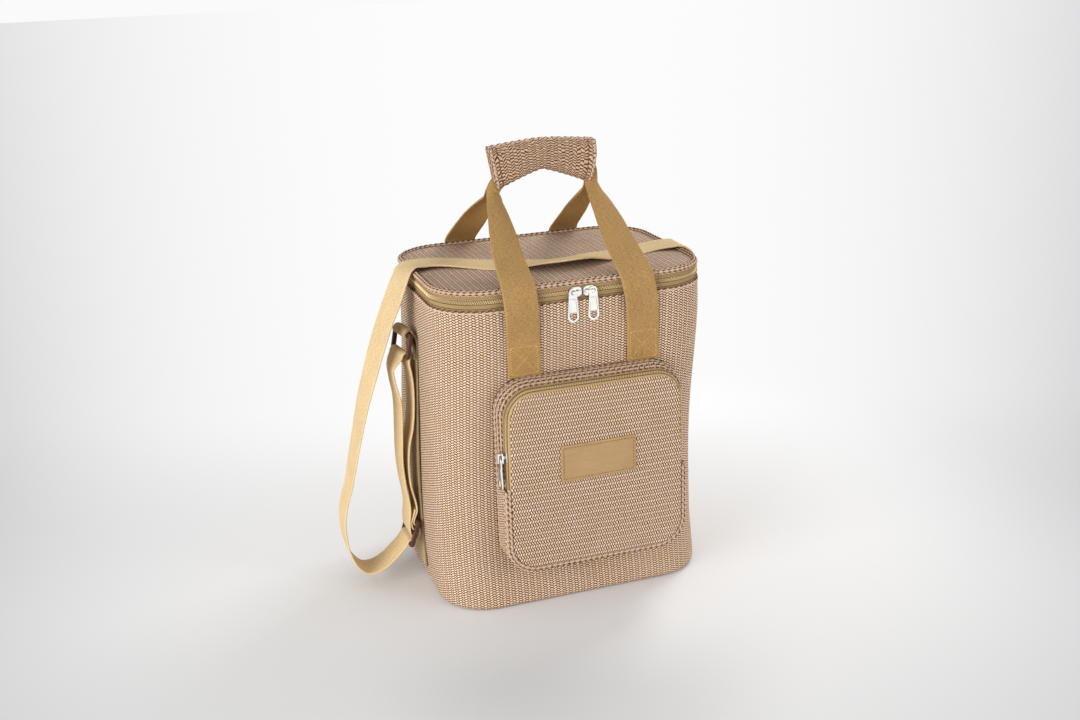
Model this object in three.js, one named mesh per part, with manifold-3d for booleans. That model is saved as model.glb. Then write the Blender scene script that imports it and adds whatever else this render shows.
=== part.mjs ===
// Woven cooler bag: an insulated tote with a zipped lid, a zipped front pocket, two webbing handles held
// together by a woven grip wrap, and a webbing shoulder strap on plastic rings.
// Millimetres, +Z up. The origin is the centre of the base, on the ground. The front with the pocket is -Y.
import * as THREE from 'three';
import { mergeVertices } from 'three/addons/utils/BufferGeometryUtils.js';
import Module from 'manifold-3d';

const wasm = await Module();
wasm.setup();

// Air kept between pieces that touch
const seat = 0.3;

// Body
const bodyWidth = 266;
const bodyDepth = 204;
const bodyHeight = 297;
const cornerRadius = 50;
const cornerSteps = 6;
const baseRounding = 6;
const waistLow = 70;
const waistHigh = 95;
const rightDrawAtBase = 4;
const rightDrawAtWaist = 9.6;
const leftBulgeAtBase = 6;
const leftBulgeAtWaist = 7.5;
const wallThickness = 2.2;
const boardThickness = 2.5;
const boardMargin = 10;
const foamThickness = 7;
const linerThickness = 0.8;
const foamDrop = 13;
const wallLevels = [14, 27, 45, 70, 95, 120, 145, 170, 195, 220, 245, 265, 285];

// Main zip
const tapeThickness = 0.8;
const tapeTuck = 11;
const lowerTapeShown = 6.1;
const upperTapeShown = 4.4;
const coilThickness = 1.8;
const coilHeight = 1.1;
const coilGap = 1;

// Lid
const rimRadius = 2;
const rimInset = 2.6;
const lidSkinThickness = 2.2;
const lidFoamThickness = 5;
const lidClearance = 0.8;

// Webbing of the handles and their sewn ends
const webbingWidth = 32;
const webbingThickness = 1.8;
const legSpacing = 116.4;
const sewnLength = 30;
const sewnDrop = 34.7;

// Grip: the two handles come together above the lid, inside the wrap
const gripHeight = 414.5;
const gripEndDrop = 10.5;
const wrapLength = 99;
const wrapThickness = 2.2;
const wrapHeightMiddle = 29;
const wrapHeightEnd = 42;
const gatheredWidth = 13;
const handleSpacing = 4.8;
const wrapRoom = 0.6;
const wrapMouth = 15;
const wrapEndLean = 0.18;
const frontSway = 4.5;
const rimPass = 1.8;

// Pocket
const pocketWidth = 180;
const pocketHeight = 180.5;
const pocketLow = 51.5;
const pocketCorner = 30;
const pocketDepth = 29.6;
const pocketDraft = 2;
const gussetDepth = 16;
const gussetThickness = 1.6;
const panelThickness = 2;
const flapLevel = 134;
const pocketTapeShown = 4.5;
const flapInset = 5.5;
const labelWidth = 74;
const labelHeight = 35.4;
const labelLevel = 154.2;
const labelThickness = 1;

// Zip sliders and pullers
const sliderLength = 10.5;
const sliderHeight = 9;
const sliderPlate = 1.4;
const sliderInnerPlate = 0.8;
const sliderPost = 0.5;
const bridgeWidth = 2.6;
const bridgeThickness = 1.4;
const bridgeFoot = 1.6;
const pullerLength = 28;
const pullerWidth = 10.8;
const pullerThickness = 1.2;
const pullerEyeRadius = 2.3;
const mainSliderPlace = 6.2;
const pocketSliderLevel = 166;

// Shoulder strap, rings and adjuster
const strapWidth = 32;
const strapThickness = 1.6;
const ringDrop = 50;
const ringStandOff = 12.6;
const ringTilt = 11.5;
const ringYaw = 8.5;
const ringBarSpacing = 21;
const adjusterHeight = 54;
const adjusterReach = 151;
const adjusterTilt = 18.5;
const adjusterBarSpacing = 12.3;
const buckleBar = 4;
const buckleThickness = 4.2;
const buckleSideRoom = 0.75;
const anchorLow = 15;

// Levels and places that follow from the sizes above
const zipLevel = bodyHeight + lowerTapeShown + coilHeight + coilGap / 2;
const tapeInset = wallThickness + seat;
const tapeMiddle = tapeInset + tapeThickness / 2;
const coilOuter = tapeMiddle - coilThickness / 2;
const coilInner = tapeMiddle + coilThickness / 2;
const rimBottom = zipLevel + coilGap / 2 + coilHeight + upperTapeShown;
const lidTop = rimBottom + lidSkinThickness;
const rimTop = rimBottom + 2 * rimRadius;
const frontWall = -bodyDepth / 2;
const sewnTop = bodyHeight - sewnDrop;
const ringLevel = bodyHeight - ringDrop;
const foamTop = bodyHeight - foamDrop;
const hingeEnd = bodyWidth / 2 - cornerRadius - seat;

const weaveMaterial = { color: 0xb69a7e, roughness: 0.85 };
const lidWeaveMaterial = { color: 0xa98f74, roughness: 0.85 };
const webbingMaterial = { color: 0xb3945c, roughness: 0.8 };
const strapMaterial = { color: 0xc9ab72, roughness: 0.8 };
const tapeMaterial = { color: 0xb89e6f, roughness: 0.75 };
const coilMaterial = { color: 0x8f7d55, roughness: 0.5 };
const foamMaterial = { color: 0xdfe3e6, roughness: 0.9 };
const linerMaterial = { color: 0xc9ccd0, roughness: 0.35, metalness: 0.4 };
const boardMaterial = { color: 0x3a3a3c, roughness: 0.8 };
const metalMaterial = { color: 0xd8d9dc, roughness: 0.2, metalness: 1 };
const plasticMaterial = { color: 0x4d342c, roughness: 0.4 };
const labelMaterial = { color: 0xc8a86b, roughness: 0.7 };

const bag = new THREE.Group();

// Adds a named mesh, turned the right way out
function addPiece(name, geometry, material, parent = bag) {
  const shell = turnedOut(merged(geometry));
  const mesh = new THREE.Mesh(shell, new THREE.MeshStandardMaterial(material));
  mesh.name = name;
  parent.add(mesh);
  return mesh;
}

// Keeps only the positions, with shared corners joined
function merged(geometry) {
  const bare = new THREE.BufferGeometry();
  bare.setAttribute('position', geometry.getAttribute('position'));
  if (geometry.index) bare.setIndex(geometry.index);
  const joined = mergeVertices(bare, 1e-4);
  const faces = joined.index.array;
  const kept = [];
  for (let i = 0; i < faces.length; i += 3) {
    const [a, b, c] = [faces[i], faces[i + 1], faces[i + 2]];
    if (a !== b && b !== c && c !== a) kept.push(a, b, c);
  }
  joined.setIndex(kept);
  return joined;
}

// Flips the faces of a closed surface whose volume comes out negative
function turnedOut(geometry) {
  const place = geometry.getAttribute('position');
  const faces = geometry.index.array;
  const corner = [new THREE.Vector3(), new THREE.Vector3(), new THREE.Vector3()];
  let volume = 0;
  for (let i = 0; i < faces.length; i += 3) {
    corner.forEach((c, k) => c.fromBufferAttribute(place, faces[i + k]));
    volume += corner[0].dot(corner[1].clone().cross(corner[2]));
  }
  if (volume < 0) {
    for (let i = 0; i < faces.length; i += 3) {
      const second = faces[i + 1];
      faces[i + 1] = faces[i + 2];
      faces[i + 2] = second;
    }
  }
  return geometry;
}

// A solid through a row of sections that hold as many points each. A ring joins its last section to its
// first; otherwise both end sections are closed with flat faces.
function loft(sections, ring = false) {
  const count = sections[0].length;
  const vertices = sections.flat();
  const faces = [];
  const rows = ring ? sections.length : sections.length - 1;
  for (let row = 0; row < rows; row += 1) {
    const here = row * count;
    const next = ((row + 1) % sections.length) * count;
    for (let k = 0; k < count; k += 1) {
      const m = (k + 1) % count;
      faces.push(here + k, here + m, next + m, here + k, next + m, next + k);
    }
  }
  if (!ring) {
    const last = (sections.length - 1) * count;
    for (const [a, b, c] of flatFaces(sections[0])) faces.push(a, c, b);
    for (const [a, b, c] of flatFaces(sections[sections.length - 1])) faces.push(last + a, last + b, last + c);
  }
  const geometry = new THREE.BufferGeometry().setFromPoints(vertices);
  geometry.setIndex(faces);
  return geometry;
}

// Triangles that fill one flat section, listed in the order of its points
function flatFaces(section) {
  const normal = new THREE.Vector3();
  section.forEach((p, i) => normal.add(p.clone().cross(section[(i + 1) % section.length])));
  normal.normalize();
  const across = section[1].clone().sub(section[0]).cross(normal).normalize();
  const along = normal.clone().cross(across);
  const flat = section.map((p) => new THREE.Vector2(p.dot(across), p.dot(along)));
  const faces = THREE.ShapeUtils.triangulateShape(flat, []);
  const turned = THREE.ShapeUtils.isClockWise(flat);
  return turned ? faces.map(([a, b, c]) => [a, c, b]) : faces;
}

// Joins closed shapes into one solid
function union(geometries) {
  const solids = geometries.map((geometry) => {
    const shell = turnedOut(merged(geometry));
    const vertProperties = new Float32Array(shell.getAttribute('position').array);
    const triVerts = new Uint32Array(shell.index.array);
    return new wasm.Manifold(new wasm.Mesh({ numProp: 3, vertProperties, triVerts }));
  });
  const result = solids.reduce((sum, solid) => sum.add(solid)).getMesh();
  const geometry = new THREE.BufferGeometry();
  geometry.setAttribute('position', new THREE.BufferAttribute(new Float32Array(result.vertProperties), 3));
  geometry.setIndex(Array.from(result.triVerts));
  return geometry;
}

function block(low, high) {
  const size = high.map((h, i) => h - low[i]);
  const box = new THREE.BoxGeometry(...size);
  return box.translate(...low.map((l, i) => l + size[i] / 2));
}

function smoothStep(t) {
  const s = Math.min(Math.max(t, 0), 1);
  return s * s * (3 - 2 * s);
}

// Where a side wall's outer face stands at a height. The soft bag leans a little: above the stiff base the
// right wall draws in and the left one, which the strap pulls on, stands out.
function halfWidth(side, level) {
  const atWaist = side < 0 ? leftBulgeAtWaist : -rightDrawAtWaist;
  const atBase = side < 0 ? leftBulgeAtBase : -rightDrawAtBase;
  if (level < waistLow) return bodyWidth / 2 + atBase + (atWaist - atBase) * smoothStep(level / waistLow);
  return bodyWidth / 2 + atWaist * smoothStep((bodyHeight - level) / (bodyHeight - waistHigh));
}

// Rounded rectangle that starts at the back left corner and runs by the left side, the front and the right
// side to the back right corner. Closed, its last edge is the back.
function roundedLoop(left, right, halfY, radius) {
  const points = [];
  const corners = [[-1, 1, 90], [-1, -1, 180], [1, -1, 270], [1, 1, 0]];
  for (const [sideX, sideY, start] of corners) {
    for (let step = 0; step <= cornerSteps; step += 1) {
      const angle = THREE.MathUtils.degToRad(start + (90 * step) / cornerSteps);
      const x = sideX * ((sideX < 0 ? left : right) - radius) + radius * Math.cos(angle);
      const y = sideY * (halfY - radius) + radius * Math.sin(angle);
      points.push(new THREE.Vector2(x, y));
    }
  }
  return points;
}

// The bag's outline at a height, set in from the outer face of the wall
function bagLoop(level, inset) {
  const [left, right] = [-1, 1].map((side) => halfWidth(side, level) - inset);
  const loop = roundedLoop(left, right, bodyDepth / 2 - inset, cornerRadius - inset);
  return loop.map((p) => new THREE.Vector3(p.x, p.y, level));
}

// An open tub: a rounded base, the wall up to its top edge, and the same wall down again one thickness in
function tub(inset, floor, top, thickness, rounding) {
  const outside = [[floor, inset + rounding]];
  for (const turn of [30, 60]) {
    const angle = THREE.MathUtils.degToRad(turn);
    outside.push([floor + rounding * (1 - Math.cos(angle)), inset + rounding * (1 - Math.sin(angle))]);
  }
  outside.push([floor + rounding, inset]);
  const levels = wallLevels.filter((level) => level > floor + rounding + thickness && level < top - 2);
  for (const level of levels) outside.push([level, inset]);
  const inner = inset + thickness;
  const innerRounding = Math.max(rounding - thickness, 1);
  const inside = levels.slice().reverse().map((level) => [level, inner]);
  inside.push([floor + thickness + innerRounding, inner]);
  inside.push([floor + thickness, inner + innerRounding]);
  const profile = [...outside, [top, inset], [top, inner], ...inside];
  return loft(profile.map(([level, depth]) => bagLoop(level, depth)));
}

// A band that follows the zip: along the left side, the front and the right side
function zipBand(low, high, outer, inner) {
  const rings = [[low, outer], [high, outer], [high, inner], [low, inner]].map(([level, inset]) => bagLoop(level, inset));
  return loft(rings[0].map((point, i) => rings.map((ring) => ring[i])));
}

// A flat board of the bag's outline
function plate(low, high, inset) {
  return loft([bagLoop(low, inset), bagLoop(high, inset)]);
}

function buildBody() {
  addPiece('outer_shell', tub(0, 0, bodyHeight, wallThickness, baseRounding), weaveMaterial);
  const boardLow = wallThickness + seat;
  addPiece('base_board', plate(boardLow, boardLow + boardThickness, boardMargin), boardMaterial);
  const foamLow = boardLow + boardThickness + seat;
  const foamInset = wallThickness + seat;
  addPiece('foam_tub', tub(foamInset, foamLow, foamTop, foamThickness, baseRounding), foamMaterial);
  addPiece('liner', linerShape(foamInset + foamThickness + seat, foamLow + foamThickness + seat), linerMaterial);
}

// The liner: a tub inside the foam whose top turns out over the foam and up behind the zip tape
function linerShape(inset, floor) {
  const rounding = baseRounding - wallThickness;
  const skin = linerThickness;
  const neck = tapeInset + tapeThickness + seat;
  const shelf = foamTop + seat;
  const top = zipLevel - sliderHeight / 2 - 2 * seat;
  const levels = wallLevels.filter((level) => level > floor + rounding + skin && level < foamTop - 2);
  const outside = [[floor, inset + rounding], [floor + rounding, inset]];
  const inside = [[floor + skin + rounding, inset + skin], [floor + skin, inset + skin + rounding]];
  const profile = [
    ...outside,
    ...levels.map((level) => [level, inset]),
    [shelf, inset],
    [shelf, neck],
    [top, neck],
    [top, neck + skin],
    [shelf + skin, neck + skin],
    [shelf + skin, inset + skin],
    ...levels.slice().reverse().map((level) => [level, inset + skin]),
    ...inside,
  ];
  return loft(profile.map(([level, depth]) => bagLoop(level, depth)));
}

function buildMainZip() {
  const lowerCoilLow = zipLevel - coilGap / 2 - coilHeight;
  const upperCoilLow = zipLevel + coilGap / 2;
  const tapeInner = tapeInset + tapeThickness;
  const tapeLow = bodyHeight - tapeTuck;
  const lowerTapeTop = lowerCoilLow - seat;
  const upperTapeLow = upperCoilLow + coilHeight + seat;
  addPiece('lower_zip_tape', zipBand(tapeLow, lowerTapeTop, tapeInset, tapeInner), tapeMaterial);
  addPiece('lower_zip_coil', zipBand(lowerCoilLow, lowerCoilLow + coilHeight, coilOuter, coilInner), coilMaterial);
  addPiece('upper_zip_coil', zipBand(upperCoilLow, upperCoilLow + coilHeight, coilOuter, coilInner), coilMaterial);
  addPiece('upper_zip_tape', zipBand(upperTapeLow, rimBottom - seat, tapeInset, tapeInner), tapeMaterial);

  // The back has no zip: a strip of fabric hinges the lid there
  const back = bodyDepth / 2;
  const strip = (low, high) => block([-hingeEnd, back - tapeInner, low], [hingeEnd, back - tapeInset, high]);
  addPiece('hinge_strip', strip(tapeLow, zipLevel - seat), tapeMaterial);
  addPiece('lid_hinge_edge', strip(zipLevel + seat, rimBottom - seat), tapeMaterial);
}

function buildLid() {
  const rim = [];
  for (let step = 0; step < 8; step += 1) {
    const angle = (step * Math.PI) / 4;
    const level = rimBottom + rimRadius * (1 + Math.sin(angle));
    rim.push(bagLoop(level, rimInset - rimRadius * Math.cos(angle)));
  }
  const skinInset = rimInset + rimRadius + seat;
  const foamHigh = lidTop - lidSkinThickness - seat;
  const foamLow = foamHigh - lidFoamThickness;
  const innerInset = coilInner + 2 * lidClearance;
  addPiece('lid_rim', loft(rim, true), lidWeaveMaterial);
  addPiece('lid_panel', plate(lidTop - lidSkinThickness, lidTop, skinInset), lidWeaveMaterial);
  addPiece('lid_foam', plate(foamLow, foamHigh, innerInset), foamMaterial);
  addPiece('lid_liner', plate(foamLow - seat - linerThickness, foamLow - seat, innerInset), linerMaterial);
}

// A smooth run of webbing through points of [place, width direction, width]
function ribbon(stations, thickness, stepsPerSpan) {
  const route = new THREE.CatmullRomCurve3(stations.map((s) => s.place), false, 'centripetal');
  const spans = stations.length - 1;
  const count = spans * stepsPerSpan;
  const sections = [];
  for (let i = 0; i <= count; i += 1) {
    const t = i / count;
    const span = Math.min(Math.floor(t * spans), spans - 1);
    const share = t * spans - span;
    const here = stations[span];
    const next = stations[span + 1];
    const place = route.getPoint(t);
    const tangent = route.getTangent(t);
    const hint = here.across.clone().lerp(next.across, share);
    const face = tangent.clone().cross(hint).normalize();
    const across = face.clone().cross(tangent).normalize();
    const half = (here.width + (next.width - here.width) * share) / 2;
    const corners = [[-1, -1], [1, -1], [1, 1], [-1, 1]];
    sections.push(corners.map(([a, b]) => place.clone()
      .addScaledVector(across, a * half)
      .addScaledVector(face, (b * thickness) / 2)));
  }
  return loft(sections);
}

function station(place, across, width) {
  return { place: new THREE.Vector3(...place), across: new THREE.Vector3(...across), width };
}

// One end of a handle, stitched flat on the wall
function buildSewnEnds() {
  for (const [row, side] of [['front', -1], ['back', 1]]) {
    for (const [hand, turn] of [['left', -1], ['right', 1]]) {
      const middle = (turn * legSpacing) / 2;
      const near = side * (bodyDepth / 2 + seat);
      const far = side * (bodyDepth / 2 + seat + webbingThickness);
      const low = [middle - webbingWidth / 2, Math.min(near, far), sewnTop - sewnLength];
      const high = [middle + webbingWidth / 2, Math.max(near, far), sewnTop];
      addPiece(`sewn_end_${row}_${hand}`, block(low, high), webbingMaterial);
    }
  }
}

// Height of the grip's middle line at a distance from its centre, and the wrap's height there
function gripLine(x) {
  const share = (2 * x) / wrapLength;
  return gripHeight - gripEndDrop * share * share;
}

function wrapHeight(x) {
  const share = (2 * x) / wrapLength;
  return wrapHeightMiddle + (wrapHeightEnd - wrapHeightMiddle) * share * share;
}

// A handle: up from one sewn end, leaning in over the lid, gathered through the grip and down the other side.
// Each leg's line is given in shares of its rise to the lid's rim, then of its rise from there to the grip, and
// of its reach from the wall to the grip. Sway is how far the legs stand to the left halfway up.
function buildHandle(name, side, sway) {
  const foot = bodyDepth / 2 + seat + webbingThickness / 2;
  const footLevel = sewnTop + seat;
  const inGrip = handleSpacing / 2;
  const entry = wrapLength / 2;
  const entryLevel = gripLine(entry) - wrapHeight(entry) / 2 - 2;
  const rise = entryLevel - footLevel;
  const reach = foot - inGrip;
  const passLevel = rimTop + rimPass;
  const toRim = [[0, 0, 1], [0.099, 0, 1], [0.4835, -0.025, 1], [0.791, -0.03, 1], [1, 0.01, 1]];
  const toGrip = [[0.174, 0.16, 0.98], [0.376, 0.36, 0.94], [0.596, 0.56, 0.84], [0.798, 0.76, 0.66], [0.936, 0.925, 0.48]];
  const legLine = [
    ...toRim.map(([up, ...rest]) => [footLevel + (passLevel - footLevel) * up, ...rest]),
    ...toGrip.map(([up, ...rest]) => [passLevel + (entryLevel - passLevel) * up, ...rest]),
  ];
  const leg = legLine.map(([level, inward, wide]) => {
    const up = (level - footLevel) / rise;
    const x = legSpacing / 2 - (legSpacing / 2 - entry) * up * up;
    return [x, foot - reach * inward, level, webbingWidth * wide];
  });
  const turn = [
    [entry, inGrip + 0.3, entryLevel + 1.5, gatheredWidth], [entry, inGrip, entryLevel + 7, gatheredWidth], [entry - 1, inGrip, entryLevel + 14, gatheredWidth],
    [entry - 5, inGrip, entryLevel + 22, gatheredWidth], [entry - 13, inGrip, gripLine(entry - 13), gatheredWidth],
  ];
  const grip = [0.46, 0.22].map((share) => {
    const x = (wrapLength / 2) * share;
    return [x, inGrip, gripLine(x), gatheredWidth * 1.2];
  });
  const half = [...leg, ...turn, ...grip];
  const middle = [[0, inGrip, gripLine(0), gatheredWidth * 1.4]];
  const route = [
    ...half.map(([x, y, z, width]) => [-x, y, z, width]),
    ...middle,
    ...half.slice().reverse(),
  ];
  const swayAt = (z) => {
    const share = Math.min(Math.max((z - footLevel) / rise - 0.06, 0) / 0.94, 1);
    return sway * Math.sin(Math.PI * share) ** 2;
  };
  const places = route.map(([x, y, z]) => new THREE.Vector3(x - swayAt(z), side * y, z));
  const curve = new THREE.CatmullRomCurve3(places, false, 'centripetal');
  const wallNormal = new THREE.Vector3(0, side, 0);
  const stations = route.map(([, , , width], i) => {
    const across = curve.getTangent(i / (route.length - 1)).cross(wallNormal).normalize();
    return { place: places[i], across, width };
  });
  addPiece(name, ribbon(stations, webbingThickness, 3), webbingMaterial);
}

// The wrap round both handles: a channel sewn to the front handle, closed by a strip on the back handle. Its
// underside is open near both ends, where the legs come in.
function buildWrap() {
  const inner = handleSpacing / 2 + webbingThickness / 2 + wrapRoom;
  const outer = inner + wrapThickness;
  const lip = inner - seat;
  const bevel = wrapThickness / 2;
  const end = wrapLength / 2;
  const shut = end - wrapMouth;
  const channel = [];
  const strip = [];
  const places = [1, 0.85, (shut + 1) / end, shut / end, 0.5, 0.25, 0];
  const stops = [...places.map((share) => -share * end), ...places.slice(0, -1).reverse().map((share) => share * end)];
  for (const x of stops) {
    const middle = gripLine(x);
    const half = wrapHeight(x) / 2;
    const room = half - wrapThickness;
    const hem = Math.abs(x) > shut + 0.5 ? seat - inner : lip;
    const upper = [[lip, half], [-outer + bevel, half], [-outer, half - bevel]];
    const lower = [[-outer, bevel - half], [-outer + bevel, -half], [hem, -half]];
    const outline = [...upper, ...lower, [hem, -room], [-inner, -room], [-inner, room], [lip, room]];
    const lean = (wrapEndLean * x) / end;
    const stand = ([y, z]) => new THREE.Vector3(x + z * Math.sin(lean), y, middle + z * Math.cos(lean));
    channel.push(outline.map(stand));
    const back = [
      [inner, half], [outer - bevel, half], [outer, half - bevel], [outer, bevel - half], [outer - bevel, -half],
      [inner, -half],
    ];
    strip.push(back.map(stand));
  }
  addPiece('grip_wrap_front', loft(channel), weaveMaterial);
  addPiece('grip_wrap_back', loft(strip), weaveMaterial);
}

// The pocket's outline seen from the front, as two halves that meet at the level where the flap bends
function pocketHalf(inset, upper, bend) {
  const radius = pocketCorner - inset;
  const halfX = pocketWidth / 2 - inset;
  const edge = upper ? pocketLow + pocketHeight - inset : pocketLow + inset;
  const centre = upper ? edge - radius : edge + radius;
  const corners = upper ? [[-1, 180, -90], [1, 90, -90]] : [[1, 0, -90], [-1, -90, -90]];
  const points = [];
  for (const [sideX, start, sweep] of corners) {
    for (let step = 0; step <= cornerSteps; step += 1) {
      const angle = THREE.MathUtils.degToRad(start + (sweep * step) / cornerSteps);
      points.push([sideX * (halfX - radius) + radius * Math.cos(angle), centre + radius * Math.sin(angle)]);
    }
  }
  const first = [points[0][0], bend];
  const last = [points[points.length - 1][0], bend];
  return [first, ...points, last];
}

// The outline's inset at a depth from the wall: the pocket narrows slightly towards its front
function draftAt(depth) {
  return (pocketDraft * depth) / pocketDepth;
}

function pocketRow(depth, extra, upper, bend = flapLevel + (upper ? seat : -seat) / 2) {
  return pocketHalf(draftAt(depth) + extra, upper, bend).map(([x, z]) => new THREE.Vector3(x, frontWall - depth, z));
}

// A band along the pocket's zip. Its section is a list of depths and insets.
function pocketBand(corners) {
  const rows = corners.map(([depth, extra]) => pocketRow(depth, extra, true));
  return loft(rows[0].map((point, i) => rows.map((row) => row[i])));
}

function flatBand(near, far, outer, inner) {
  return pocketBand([[near, outer], [far, outer], [far, inner], [near, inner]]);
}

function buildPocket() {
  const panelNear = pocketDepth - panelThickness;
  const lowerReach = panelNear - seat;
  const half = (reach, upper) => {
    const rows = [[seat, 0], [reach, 0], [reach, gussetThickness], [seat, gussetThickness]];
    const bend = flapLevel - seat * (upper ? 0.5 : 1.5);
    const lines = rows.map(([depth, extra]) => pocketRow(depth, extra, upper, bend));
    return lines[0].map((point, i) => lines.map((line) => line[i]));
  };
  addPiece('pocket_gusset', loft([...half(gussetDepth, true), ...half(lowerReach, false)], true), weaveMaterial);

  const panel = (extra, upper) => loft([pocketRow(panelNear, extra, upper), pocketRow(pocketDepth, extra, upper)]);
  addPiece('pocket_front', panel(0, false), weaveMaterial);
  addPiece('pocket_flap', panel(flapInset, true), weaveMaterial);

  const outerTape = gussetDepth + seat;
  const outerCoil = outerTape + pocketTapeShown + seat;
  const innerCoil = outerCoil + coilHeight + coilGap;
  const innerTape = innerCoil + coilHeight + seat;
  const spread = (coilThickness - tapeThickness) / 2;
  const coilBand = (near) => flatBand(near, near + coilHeight, -spread, tapeThickness + spread);
  addPiece('pocket_outer_tape', flatBand(outerTape, outerTape + pocketTapeShown, 0, tapeThickness), tapeMaterial);
  addPiece('pocket_outer_coil', coilBand(outerCoil), coilMaterial);
  addPiece('pocket_inner_coil', coilBand(innerCoil), coilMaterial);

  // The inner tape runs straight past the slider. The binding folds from there onto the front, up to the flap.
  const fold = innerCoil - coilGap / 2 + sliderHeight / 2 + seat;
  const hem = flapInset - seat;
  addPiece('pocket_inner_tape', flatBand(innerTape, fold, 0, tapeThickness), tapeMaterial);
  const bindingSection = [
    [fold + seat, 0], [pocketDepth - seat, hem - tapeThickness], [pocketDepth - seat, hem],
    [fold + 2 * seat, 2 * tapeThickness], [fold + seat, tapeThickness],
  ];
  addPiece('pocket_flap_binding', pocketBand(bindingSection), tapeMaterial);

  const labelNear = frontWall - pocketDepth - seat;
  const low = [-labelWidth / 2, labelNear - labelThickness, labelLevel - labelHeight / 2];
  const high = [labelWidth / 2, labelNear, labelLevel + labelHeight / 2];
  addPiece('pocket_label', block(low, high), labelMaterial);
}

// Slider in its own frame: X along the zip, Z across it, -Y outwards, the tape's middle plane at Y = 0.
// Two plates joined by a post between the coil halves, and a bridge over the outer plate.
const coilFace = coilThickness / 2;
const plateFace = coilFace + 2 * seat;
const bridgeRoom = pullerThickness + 2 * seat;

function sliderShape() {
  const halfLength = sliderLength / 2;
  const halfHeight = sliderHeight / 2;
  const nose = new THREE.Shape();
  nose.moveTo(-halfLength, -halfHeight * 0.6);
  nose.lineTo(-halfLength * 0.5, -halfHeight);
  nose.lineTo(halfLength * 0.7, -halfHeight);
  nose.quadraticCurveTo(halfLength, -halfHeight * 0.8, halfLength, 0);
  nose.quadraticCurveTo(halfLength, halfHeight * 0.8, halfLength * 0.7, halfHeight);
  nose.lineTo(-halfLength * 0.5, halfHeight);
  nose.lineTo(-halfLength, halfHeight * 0.6);
  const outer = new THREE.ExtrudeGeometry(nose, { depth: sliderPlate, bevelEnabled: false, curveSegments: 4 });
  outer.rotateX(Math.PI / 2).translate(0, -plateFace, 0);
  const inner = new THREE.ExtrudeGeometry(nose, { depth: sliderInnerPlate, bevelEnabled: false, curveSegments: 4 });
  inner.rotateX(Math.PI / 2).translate(0, coilFace + seat + sliderInnerPlate, 0);
  const grow = 0.2;
  const post = block([-1.6, -plateFace - grow, -sliderPost / 2], [1.6, coilFace + seat + grow, sliderPost / 2]);
  const face = -plateFace - sliderPlate;
  const top = face - bridgeRoom - bridgeThickness;
  const halfBridge = bridgeWidth / 2;
  const bar = block([-halfLength * 0.85, top, -halfBridge], [halfLength * 0.85, top + bridgeThickness, halfBridge]);
  const feet = [-1, 1].map((end) => {
    const outside = end * halfLength * 0.85;
    const inside = outside - end * bridgeFoot;
    return block([Math.min(outside, inside), top + grow, -halfBridge], [Math.max(outside, inside), face + grow, halfBridge]);
  });
  return union([outer, inner, post, bar, ...feet]);
}

// Puller in its own frame: hangs down -Z from its eye at the origin, flat in the XZ plane
function pullerShape() {
  const eyeWall = 1.5;
  const top = pullerEyeRadius + eyeWall;
  const half = pullerWidth / 2;
  const outline = new THREE.Shape();
  outline.moveTo(-top, 0);
  outline.absarc(0, 0, top, Math.PI, 0, true);
  outline.lineTo(half * 0.78, -pullerLength * 0.25);
  outline.lineTo(half, -pullerLength + half);
  outline.absarc(0, -pullerLength + half, half, 0, Math.PI, true);
  outline.lineTo(-half * 0.78, -pullerLength * 0.25);
  outline.closePath();
  const eye = new THREE.Path();
  eye.absarc(0, 0, pullerEyeRadius, 0, 2 * Math.PI, false);
  const window = new THREE.Path();
  const slot = half - 1.9;
  const slotTop = -pullerLength + half + 3.2;
  window.moveTo(slot, slotTop);
  window.lineTo(-slot, slotTop);
  window.lineTo(-slot, -pullerLength + half);
  window.absarc(0, -pullerLength + half, slot, Math.PI, 2 * Math.PI, false);
  window.closePath();
  outline.holes.push(eye, window);
  const puller = new THREE.ExtrudeGeometry(outline, { depth: pullerThickness, bevelEnabled: false, curveSegments: 8 });
  return puller.rotateX(Math.PI / 2).translate(0, pullerThickness / 2, 0);
}

// The puller's eye hangs on the bridge's foot, so its centre stands off the tape by this much
const pullerPlane = plateFace + sliderPlate + seat + pullerThickness / 2;
const footPlace = (sliderLength / 2) * 0.85 - bridgeFoot / 2;
const eyePlay = pullerEyeRadius - Math.hypot(bridgeFoot, bridgeWidth) / 2 - seat / 2;

function buildSliders() {
  const frontTape = frontWall + tapeMiddle;
  for (const [hand, turn] of [['left', -1], ['right', 1]]) {
    const slider = new THREE.Group();
    slider.position.set(turn * mainSliderPlace, frontTape, zipLevel);
    bag.add(slider);
    const body = sliderShape();
    if (turn < 0) body.rotateY(Math.PI);
    addPiece(`main_slider_${hand}`, body, metalMaterial, slider);
    const puller = pullerShape().translate(turn * footPlace, -pullerPlane, 0);
    addPiece(`main_puller_${hand}`, puller, metalMaterial, slider);
  }
  const zipDepth = gussetDepth + 2 * seat + pocketTapeShown + coilHeight + coilGap / 2;
  const tapeOut = pocketWidth / 2 - draftAt(zipDepth) - tapeThickness / 2;
  const side = new THREE.Group();
  side.position.set(-tapeOut, frontWall - zipDepth, pocketSliderLevel);
  side.rotation.z = -Math.PI / 2;
  bag.add(side);
  const body = sliderShape().rotateY(Math.PI / 2);
  addPiece('pocket_slider', body, metalMaterial, side);
  const puller = pullerShape().translate(0, -pullerPlane, -footPlace + eyePlay / 2);
  addPiece('pocket_puller', puller, metalMaterial, side);
}

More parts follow.
